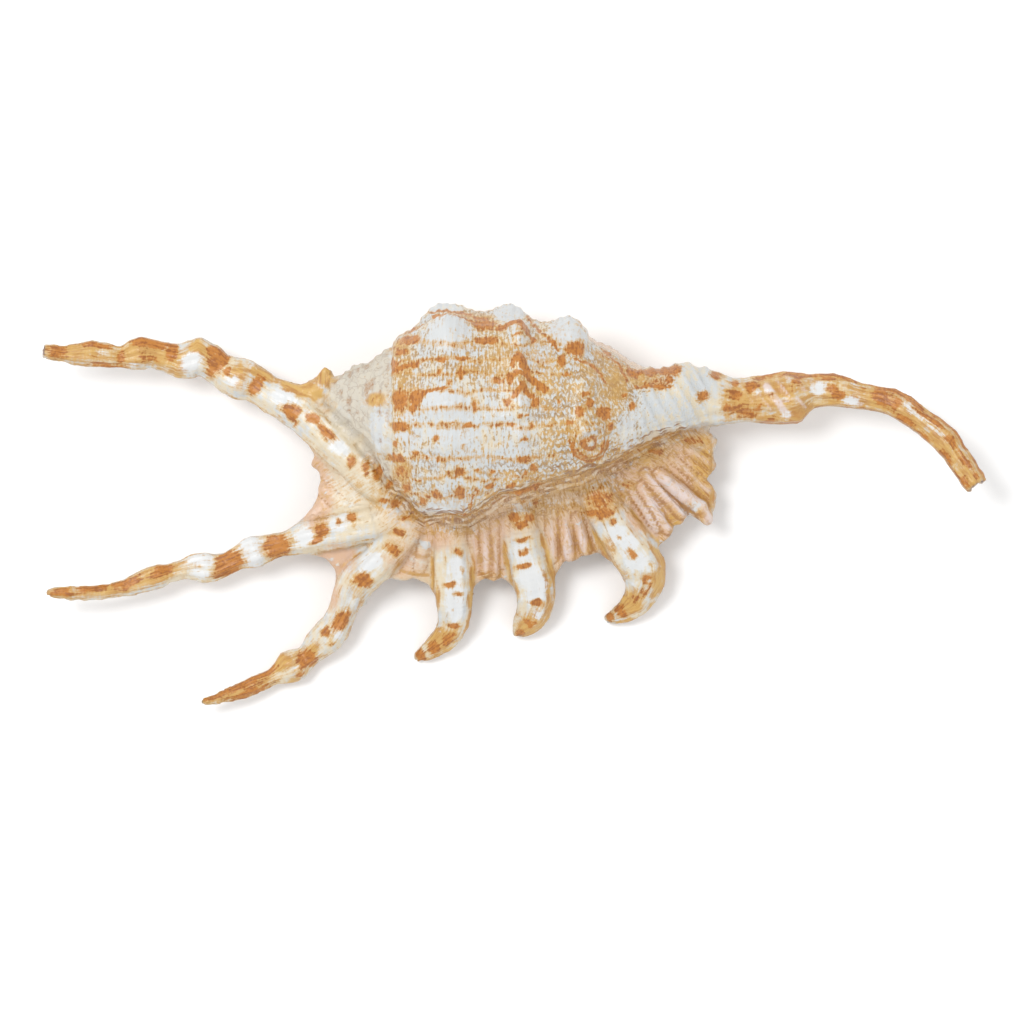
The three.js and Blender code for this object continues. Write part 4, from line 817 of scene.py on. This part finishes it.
def underside_finish(at):
    """The lip's shelf, the glaze, the share of rust that it leaves, and the dark throat, with painted
    shade in the open tips.
    """
    shelf = np.clip(at.lip, 0.0, 1.0) * at.under
    from_callus = np.hypot((at.x - 3.0) / 31.0, (at.y - 15.0) / 15.5)
    smooth = shelf + (1.0 - fade(0.85, 1.15, from_callus)) * at.under
    rim = bell((along(CALLUS_RIM, at.plan)[0] / 0.7) ** 2)
    rim = rim * (1.0 - fade(0.35, 0.75, at.outward[:, 2]))
    glaze = np.clip(smooth + 0.75 * at.on_finger * at.under, 0.0, 1.0) * at.under
    glaze = np.clip(glaze + rim, 0.0, 1.0)
    rust_left = (1.0 - 0.95 * np.clip(smooth, 0.0, 1.0)) * (1.0 - 0.95 * rim)
    inside = at.under * (1.0 - fade(0.84, 0.93, at.reach)) * (1.0 - at.on_finger)
    from_mouth = np.hypot((at.x - 5.0) / 19.0, (at.y - 4.6 - 0.17 * (at.x - 5.0)) / 5.2)
    # The dark throat, and painted shade in the open tips of the longest fingers and the canal
    throat = np.clip(1.35 - from_mouth, 0.0, 1.0) * at.under + inside + at.tip_hollow
    return shelf, glaze, rust_left, throat


def flows(at):
    """The directions that the body's, the fingers' and the crease's markings follow."""
    skew = 0.55 * fade(14.0, 24.0, at.x)
    below = at.lip > 0.5
    across = np.where(below, at.crease_place - skew * at.crease_gap, at.x)
    lengthwise = np.where(below, 0.8 * at.crease_gap, at.arc)
    near_crease = np.exp(-(at.crease_gap / 2.2) ** 2) * at.back_side
    near_crease = near_crease * (1.0 - fade(27.0, 31.0, at.x)) * fade(-24.0, -19.0, at.x)
    return {
        "body_flow": (across, lengthwise, at.on_finger * 1.0),
        "finger_flow": (at.finger_turn * 2.2, at.finger_place, at.finger * 7.0),
        "crease_flow": (at.crease_side, at.crease_place, near_crease),
    }


def skin_colours(at):
    """The places of every colour and finish, each from 0 to 1, three under a name."""
    seen = at.back_side
    off_finger = 1.0 - at.on_finger
    lip = np.clip(at.lip, 0.0, 1.0)
    on_lip = lip * seen
    back_wall = at.body * at.under
    shelf, glaze, rust_left, throat = underside_finish(at)
    grey = patches(GREY_PLACES, at.seen) * seen
    creamy = patches(CREAM_PLACES, at.seen) * seen
    root_chalk = patches(ROOT_CHALK, at.seen)
    crest, groove = fold_colours(at)
    lace = stitched(at)
    flank = fade(0.66, 1.10, at.finger_reach + 0.12 * grain(at.points, 1.6, 95)) * at.on_finger
    far_canal = (at.finger == CANAL) * fade(6.0, 10.0, at.finger_place)
    canal_flank_shade = fade(0.58, 0.92, at.finger_reach + 0.10 * grain(at.points, 1.6, 96)) * far_canal
    short = np.isin(at.finger, SHORT_FINGERS).astype(float)

    gold = patches(GOLD_PLACES, at.seen) * off_finger
    gold = np.maximum(gold, finger_patches("gold", at) * at.on_finger)
    gold = np.maximum(gold, (0.50 + 0.30 * short) * flank)
    # The canal's own gold, thinner along its ridge than on its flanks as a painted highlight along the
    # ridge
    gold = np.maximum(gold, (0.50 + 0.25 * flank) * far_canal * at.on_finger)

    white = patches(WHITE_PLACES, at.seen) * off_finger
    on_finger = finger_patches("white", at) * at.on_finger * (1.0 - 0.7 * flank * short)
    # Painted highlight: the crests of the lip's folds are whitened, over their own lilac.
    white = np.maximum(np.maximum(white, on_finger), 0.35 * crest)
    white = np.maximum(white, 0.34 * at.on_finger * (1.0 - far_canal) * (1.0 - gold))
    white = white * (1.0 - 0.85 * at.neck * (1.0 - neck_cords(at)))

    level = fade(-0.05, 0.40, at.outward[:, 2])
    hidden = hidden_rust(at)
    rust = rust_cover(at) * level + hidden * 0.8 * (1.0 - level)
    rust = rust * seen + hidden * (back_wall + 0.6 * at.on_finger * at.under) * at.under
    # Painted shade: rust along the canal's flanks, where its sides turn away from the light
    rust = np.maximum(rust * rust_left, 0.62 * canal_flank_shade * at.on_finger * seen)
    beside_white = 1.0 - np.clip(1.4 * white, 0.0, 1.0)
    rust = np.maximum(rust, 0.26 * at.on_finger * seen * beside_white)

    white = np.maximum(white, (0.16 + 0.24 * creamy) * lip)
    gold = gold * (1.0 - 0.8 * root_chalk) * (1.0 - 0.60 * np.maximum(grey, creamy) * off_finger)
    blush = patches(BLUSH_PLACES, at.seen) * seen + 0.5 * shelf + 0.30 * on_lip * (1.0 - 0.8 * creamy)
    lilac = np.maximum(patches(LILAC_PLACES, at.seen), np.clip(1.1 * crest, 0.0, 0.9)) * seen
    lilac = np.maximum(lilac, streaks(CANAL_RIBS, at.plan + 0.4 * at.stray) * seen)
    chalk = np.maximum(patches(CHALK_PLACES, at.seen) * seen * off_finger, root_chalk * seen)
    chalk = np.maximum(chalk, at.spire * 0.9) * (1.0 - glaze * at.under)
    chalk = chalk * (1.0 - 0.9 * patches(BARE_PLACES, at.seen))
    tan = patches(TAN_PLACES, at.seen) * seen + 0.4 * back_wall + 0.10 * on_lip + 0.25 * at.on_finger
    tan = np.maximum(tan * (1.0 - 0.45 * lace), 0.58 * at.whorl) * (1.0 - 0.5 * np.clip(white, 0.0, 1.0))
    tan = tan * (1.0 - 0.35 * grey) * (1.0 - 0.7 * creamy)
    # Painted highlight: the lip's raised beads are painted nearly white, for their glints
    white = np.maximum(white, 0.9 * at.beads * on_lip)

    # Painted shade: the low places of the lip and the spire are darkened, with the grooves beside the
    # lip's folds.
    low = np.clip(-at.height / 0.30, 0.0, 1.0)
    groove = np.maximum(0.95 * groove, 0.6 * low * on_lip)
    groove = np.maximum(groove, 0.50 * low * at.spire)
    warmth = creamy - 0.4 * grey + 0.15 * at.on_finger
    lip_marks = on_lip * (0.1 + 0.9 * fade(-27.0, -9.0, at.x)) * (1.0 - 0.8 * crest) * (1.0 - 0.4 * creamy)
    return {
        "marks": (rust, white * seen, tan),
        "tints": (gold * seen, blush, lilac),
        "finish": (chalk, glaze, throat),
        "folds": (groove, crest, warmth),
        "lace": (lace, cord_height(at), lip_marks),
    }


def keep_on_skin(conch, name, values):
    """Stores three values a point, for the material to read by name."""
    layer = conch.data.attributes.new(name, "FLOAT_VECTOR", "POINT")
    layer.data.foreach_set("vector", np.stack(values, axis=1).astype(float).ravel())


def grown_conch(solid):
    """The visible shell, from the solid one."""
    conch = copied_shell(solid)
    points, _ = skin_points(conch)
    points = evened(conch, points, EVEN_ROUNDS, (EVEN_IN, EVEN_OUT))
    points[:, 2] = np.maximum(points[:, 2], 0.0)
    set_skin_points(conch, points)
    points, outward = skin_points(conch)
    at = Places(points, outward)
    at.stray = np.stack([grain(points, 1.4, 91), grain(points, 1.4, 92)], axis=1) * 0.30
    at.stray += np.stack([grain(points, 0.7, 93), grain(points, 0.7, 94)], axis=1) * 0.16
    at.seen = at.plan + at.stray
    # Small raised beads on the lip, also painted white as painted highlights
    at.beads = fade(0.52, 0.74, grain(points, 1.0, 43)) * fade(0.0, 0.3, grain(points, 5.0, 44))
    hollows = tip_hollows(at)
    # How far each point is in an open tip, which is painted dark as painted shade
    at.tip_hollow = np.clip(-hollows / 0.5, 0.0, 1.0)
    at.height = (crease_relief(at) + whorl_relief(at) + spire_relief(at) + neck_relief(at)
                 + lip_relief(at) + finger_relief(at) + mouth_relief(at))
    height = at.height + hollows + 0.05 * grain(points, 1.2, 81) * at.back_side
    height = height * fade(0.4, 1.6, at.z)
    points = points + outward * height[:, None]
    points[:, 2] = np.maximum(points[:, 2], 0.0)
    set_skin_points(conch, points)
    for name, values in (skin_colours(at) | flows(at)).items():
        keep_on_skin(conch, name, values)
    return conch


# How brightly the studio lights a surface that faces up
LIT = 1.27


def tone(red, green, blue):
    """A colour as it looks in daylight, each part from 0 to 255, as light for the material."""
    parts = []
    for part in (red, green, blue):
        share = part / 255.0
        light = share / 12.92 if share <= 0.04045 else ((share + 0.055) / 1.055) ** 2.4
        parts.append(light / LIT)
    return tuple(parts) + (1.0,)


PALE = tone(213, 217, 218)
CREAM = tone(232, 218, 190)
WHITE = tone(234, 236, 237)
BODY_WHITE = tone(218, 221, 222)
WARM_WHITE = tone(236, 230, 214)
SPECKLE = tone(163, 126, 76)
GOLD = tone(219, 173, 86)
DEEP_GOLD = tone(192, 131, 52)
PEACH = tone(224, 182, 150)
LILAC = tone(236, 220, 217)
CHALK = tone(216, 208, 192)
LIP_TAN = tone(228, 192, 146)
RUST = tone(200, 127, 46)
DARK_RUST = tone(158, 88, 27)
RUST_HALO = tone(212, 166, 92)
GROOVE = tone(150, 98, 46)
# The brown of the painted shade in the grooves beside the lip's folds and in the low places
GROOVE_SHADE_BROWN = tone(172, 118, 62)
WORN_LINE = tone(166, 146, 132)
LIP_LIGHT = tone(244, 226, 202)
THREAD_LIGHT = tone(230, 213, 188)
PORCELAIN = tone(236, 208, 180)
# The throat's dark colour, also used as painted shade in the open tips
THROAT_AND_TIP_SHADE = tone(110, 66, 62)

# The small zigzags on the body: half their length across, how steep they are, and their rows
CHEVRON_HALF = 0.52
CHEVRON_SLANT = 1.3
CHEVRON_ROW = 1.3


class Finish:
    """Adds the nodes of one material, each to the right of the last."""

    def __init__(self, name):
        self.material = bpy.data.materials.new(name)
        self.material.use_nodes = True
        self.tree = self.material.node_tree
        self.tree.nodes.clear()
        self.column = 0

    def add(self, kind):
        made = self.tree.nodes.new(kind)
        made.location = (self.column * 40, -30 * (self.column % 12))
        self.column += 1
        return made

    def join(self, output, socket):
        self.tree.links.new(output, socket)

    def give(self, socket, value):
        if isinstance(value, bpy.types.NodeSocket):
            self.join(value, socket)
        else:
            socket.default_value = value

    def read(self, name):
        """The three values a point that the skin keeps under a name, together and one by one."""
        kept = self.add("ShaderNodeAttribute")
        kept.attribute_name = name
        parts = self.add("ShaderNodeSeparateXYZ")
        self.join(kept.outputs["Vector"], parts.inputs[0])
        return kept.outputs["Vector"], tuple(parts.outputs)

    def stretched(self, vector, scale):
        mapping = self.add("ShaderNodeMapping")
        self.join(vector, mapping.inputs["Vector"])
        mapping.inputs["Scale"].default_value = scale
        return mapping.outputs[0]

    def unevenness(self, vector, size, detail=3.0, rough=0.55):
        """Noise from about 0.2 to 0.8, with lumps of the given size."""
        noise = self.add("ShaderNodeTexNoise")
        self.join(vector, noise.inputs["Vector"])
        noise.inputs["Scale"].default_value = 1.0 / size
        noise.inputs["Detail"].default_value = detail
        noise.inputs["Roughness"].default_value = rough
        return noise.outputs["Fac"]

    def drawn_out(self, flow, scale):
        """Noise drawn out along one of the skin's flows."""
        return self.unevenness(self.stretched(flow, scale), 1.0, 3.0, 0.6)

    def worked_out(self, operation, *values):
        step = self.add("ShaderNodeMath")
        step.operation = operation
        for socket, value in zip(step.inputs, values):
            self.give(socket, value)
        return step.outputs[0]

    def sum_of(self, first, second, times=1.0):
        return self.worked_out("MULTIPLY_ADD", second, times, first)

    def product(self, first, second):
        return self.worked_out("MULTIPLY", first, second)

    def mean(self, parts):
        """The weighted sum of several textures."""
        total = self.product(*parts[0])
        for texture, share in parts[1:]:
            total = self.sum_of(total, texture, share)
        return total

    def edge(self, value, low, high, out_low=0.0, out_high=1.0):
        """A soft step of a value, for the edge of a mark."""
        step = self.add("ShaderNodeMapRange")
        step.interpolation_type = "SMOOTHSTEP"
        self.join(value, step.inputs["Value"])
        step.inputs["From Min"].default_value = low
        step.inputs["From Max"].default_value = high
        step.inputs["To Min"].default_value = out_low
        step.inputs["To Max"].default_value = out_high
        return step.outputs["Result"]

    def cover(self, amount, texture, spread, middle, softness, strength):
        """Where a colour shows: its amount, broken up by a texture whose mean is a half."""
        field = self.sum_of(amount, texture, spread)
        start = middle + 0.5 * spread
        return self.edge(field, start - softness, start + softness, 0.0, strength)

    def squiggles(self, texture, width):
        """Thin curly lines, where a texture crosses its mean."""
        off = self.worked_out("ABSOLUTE", self.sum_of(texture, 1.0, -0.5))
        return self.edge(off, 0.35 * width, width, 1.0, 0.0)

    def chevrons(self, across, lengthwise, stray):
        """Rows of small zigzags, like knitted stitches."""
        slant = self.worked_out("PINGPONG", self.sum_of(across, stray, 1.2), CHEVRON_HALF)
        place = self.sum_of(self.sum_of(lengthwise, stray, 2.0), slant, CHEVRON_SLANT)
        wave = self.worked_out("SINE", self.product(place, 2 * math.pi / CHEVRON_ROW))
        return self.edge(wave, 0.0, 0.8)

    def mixed(self, kind, amount, below, above):
        mixer = self.add("ShaderNodeMix")
        mixer.data_type = kind
        self.give(mixer.inputs["Factor"], amount)
        self.give(mixer.inputs["A"], below)
        self.give(mixer.inputs["B"], above)
        return mixer.outputs["Result"]

    def either(self, amount, first, second):
        return self.mixed("FLOAT", amount, first, second)

    def blended(self, amount, below, above):
        return self.mixed("RGBA", amount, below, above)


def conch_finish():
    """Glazed cream shell with rust marks, chalky where it is worn, and a dark throat, with painted shade
    in its grooves, on the canal's flanks and in the open tips, and painted highlights on the lip's crests
    and beads and along the canal's ridge.
    """
    finish = Finish("conch_glaze")
    cover, edge, product, blended = finish.cover, finish.edge, finish.product, finish.blended
    _, (rust, white, speckled) = finish.read("marks")
    _, (gold, blush, lilac) = finish.read("tints")
    _, (chalk, glaze, throat) = finish.read("finish")
    body_flow, (across, lengthwise, on_finger) = finish.read("body_flow")
    finger_flow, _ = finish.read("finger_flow")
    crease_flow, (_, _, near_crease) = finish.read("crease_flow")
    _, (groove, crest, warmth) = finish.read("folds")
    _, (lace, cord, lip_mark) = finish.read("lace")
    place = finish.add("ShaderNodeTexCoord").outputs["Object"]
    place = finish.stretched(place, (1.0 / MM, 1.0 / MM, 1.0 / MM))

    speck = finish.unevenness(place, 0.50, 3.0, 0.6)
    blot = finish.unevenness(place, 1.5, 3.0, 0.55)
    cloud = finish.unevenness(place, 4.5, 3.0, 0.5)
    body_rows = finish.drawn_out(body_flow, (0.55, 2.2, 0.0))
    lines = finish.either(on_finger, finish.drawn_out(body_flow, (2.7, 0.75, 0.0)),
                          finish.drawn_out(finger_flow, (1.9, 0.28, 1.0)))
    rows = finish.either(on_finger, body_rows, finish.drawn_out(finger_flow, (0.3, 2.3, 1.0)))
    threads = finish.unevenness(finish.stretched(crease_flow, (2.4, 0.35, 0.0)), 1.0, 2.0, 0.5)
    broken = finish.mean([(speck, 0.22), (blot, 0.18), (lines, 0.45), (rows, 0.15)])
    drizzle = finish.mean([(speck, 0.40), (lines, 0.60)])
    calm = finish.sum_of(1.0, broken, -1.0)
    pale_threads = finish.sum_of(1.0, threads, -1.0)
    curls = finish.squiggles(finish.unevenness(place, 1.3, 1.0, 0.5), 0.045)
    stitches = finish.chevrons(across, lengthwise, blot)
    stitches = product(stitches, edge(lace, 0.25, 0.70, 0.0, 0.85))
    stitches = product(stitches, edge(blot, 0.38, 0.50, 0.35, 1.0))

    warm = finish.sum_of(finish.mean([(cloud, 0.6), (lines, 0.4)]), cord, -0.10)
    warm = finish.sum_of(warm, warmth, 0.25)
    body_white = blended(edge(warm, 0.48, 0.60, 0.0, 0.8), BODY_WHITE, WARM_WHITE)
    colour = blended(edge(warm, 0.34, 0.56), PALE, CREAM)
    layers = [
        (product(lip_mark, 0.85), LIP_TAN),
        (cover(blush, broken, 1.5, 0.45, 0.30, 0.85), PEACH),
        (cover(gold, broken, 1.7, 0.42, 0.22, 0.92), blended(edge(lines, 0.44, 0.60), GOLD, DEEP_GOLD)),
        (cover(chalk, broken, 2.0, 0.45, 0.25, 0.9), CHALK),
        (cover(speckled, drizzle, 2.6, 0.58, 0.14, 0.75), SPECKLE),
        (stitches, blended(edge(cloud, 0.4, 0.6), SPECKLE, RUST_HALO)),
        (product(curls, edge(chalk, 0.4, 0.8, 0.0, 0.38)), WORN_LINE),
        (cover(lilac, broken, 1.2, 0.50, 0.25, 0.85), LILAC),
        (cover(white, calm, 2.0, 0.50, 0.18, 0.94), blended(on_finger, body_white, WHITE)),
        (cover(near_crease, threads, 3.0, 0.86, 0.14, 0.85), GROOVE),
        (cover(near_crease, pale_threads, 3.0, 1.00, 0.14, 0.75), THREAD_LIGHT),
        (cover(product(lip_mark, 0.36), lines, 3.0, 0.52, 0.12, 0.32), GROOVE),
        (product(finish.squiggles(lines, 0.03), product(lip_mark, 0.45)), LIP_LIGHT),
        (product(curls, product(edge(speckled, 0.2, 0.6, 0.0, 0.7), lip_mark)), GROOVE),
        # Painted shade: the grooves beside the lip's folds and the low places of the lip and the spire,
        # darkened brown
        (cover(groove, speck, 0.8, 0.50, 0.28, 0.85), GROOVE_SHADE_BROWN),
        (cover(rust, broken, 2.1, 0.36, 0.18, 0.85), RUST_HALO),
        (cover(rust, broken, 1.9, 0.53, 0.08, 0.92), blended(edge(drizzle, 0.46, 0.60), RUST, DARK_RUST)),
        (edge(glaze, 0.25, 0.75, 0.0, 0.85), blended(edge(cloud, 0.40, 0.62, 0.0, 0.6), PORCELAIN, PEACH)),
        # The dark throat, with painted shade in the open tips
        (product(edge(throat, 0.15, 0.75, 0.0, 0.9), edge(body_rows, 0.38, 0.60, 0.45, 1.0)), THROAT_AND_TIP_SHADE),
    ]
    for where, above in layers:
        colour = blended(where, colour, above)

    roughness = finish.either(glaze, edge(chalk, 0.3, 0.8, 0.34, 0.75), 0.22)
    relief = finish.mean([(speck, 0.45), (lines, 0.65), (rows, 0.45)])
    relief = product(relief, edge(crest, 0.10, 0.60, 1.0, 0.35))
    relief = finish.sum_of(relief, product(threads, near_crease), 1.2)
    bump = finish.add("ShaderNodeBump")
    bump.inputs["Strength"].default_value = 0.55
    bump.inputs["Distance"].default_value = 0.0003
    finish.join(relief, bump.inputs["Height"])

    shader = finish.add("ShaderNodeBsdfPrincipled")
    finish.join(colour, shader.inputs["Base Color"])
    finish.join(roughness, shader.inputs["Roughness"])
    finish.join(bump.outputs["Normal"], shader.inputs["Normal"])
    shader.inputs["IOR"].default_value = 1.5
    output = finish.add("ShaderNodeOutputMaterial")
    finish.join(shader.outputs[0], output.inputs["Surface"])
    return finish.material


def floor_finish():
    """A plain pale floor."""
    finish = Finish("pale_floor")
    shader = finish.add("ShaderNodeBsdfPrincipled")
    shader.inputs["Base Color"].default_value = (0.90, 0.90, 0.90, 1.0)
    shader.inputs["Roughness"].default_value = 0.9
    shader.inputs["Specular IOR Level"].default_value = 0.1
    output = finish.add("ShaderNodeOutputMaterial")
    finish.join(shader.outputs[0], output.inputs["Surface"])
    return finish.material


def pale_floor():
    bpy.ops.mesh.primitive_plane_add(size=4.0, location=(0.0, 0.0, 0.0))
    floor = bpy.context.object
    floor.name = "floor"
    floor.data.materials.append(floor_finish())


def soft_light(name, place, size, power, aim=(0.0, 0.0, 0.01)):
    light = bpy.data.lights.new(name, "AREA")
    light.shape = "DISK"
    light.size = size
    light.energy = power
    lamp = bpy.data.objects.new(name, light)
    lamp.location = place
    way = [a - p for a, p in zip(aim, place)]
    length = math.sqrt(sum(w * w for w in way))
    lamp.rotation_euler = (math.acos(-way[2] / length), 0.0, math.atan2(way[1], way[0]) - math.pi / 2)
    bpy.context.scene.collection.objects.link(lamp)


def studio():
    """White surroundings, one large soft key from the upper left and a fill from the right."""
    world = bpy.data.worlds.new("white_room")
    world.use_nodes = True
    world.node_tree.nodes["Background"].inputs["Color"].default_value = (1.0, 1.0, 1.0, 1.0)
    world.node_tree.nodes["Background"].inputs["Strength"].default_value = 0.88
    bpy.context.scene.world = world
    soft_light("key", (-0.30, 0.20, 0.72), 0.32, 3.3)
    soft_light("fill", (0.65, -0.30, 0.60), 0.60, 0.8)


def overhead_camera():
    """Straight above, at the photograph's scale at the lip's height."""
    scene = bpy.context.scene
    view = bpy.data.cameras.new("overhead")
    view.lens = 200.0
    view.sensor_width = 36.0
    view.clip_start = 0.05
    away = PHOTO_WIDTH / PHOTO_PIXELS_PER_MM * MM * view.lens / view.sensor_width
    camera = bpy.data.objects.new("overhead", view)
    camera.location = (*PHOTO_MIDDLE, LIP_HEIGHT + away)
    scene.collection.objects.link(camera)
    scene.camera = camera
    scene.view_settings.view_transform = "Standard"


conch = grown_conch(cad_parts["shell"])
conch.data.materials.clear()
conch.data.materials.append(conch_finish())
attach(conch, "root")
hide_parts("shell")
pale_floor()
studio()
overhead_camera()
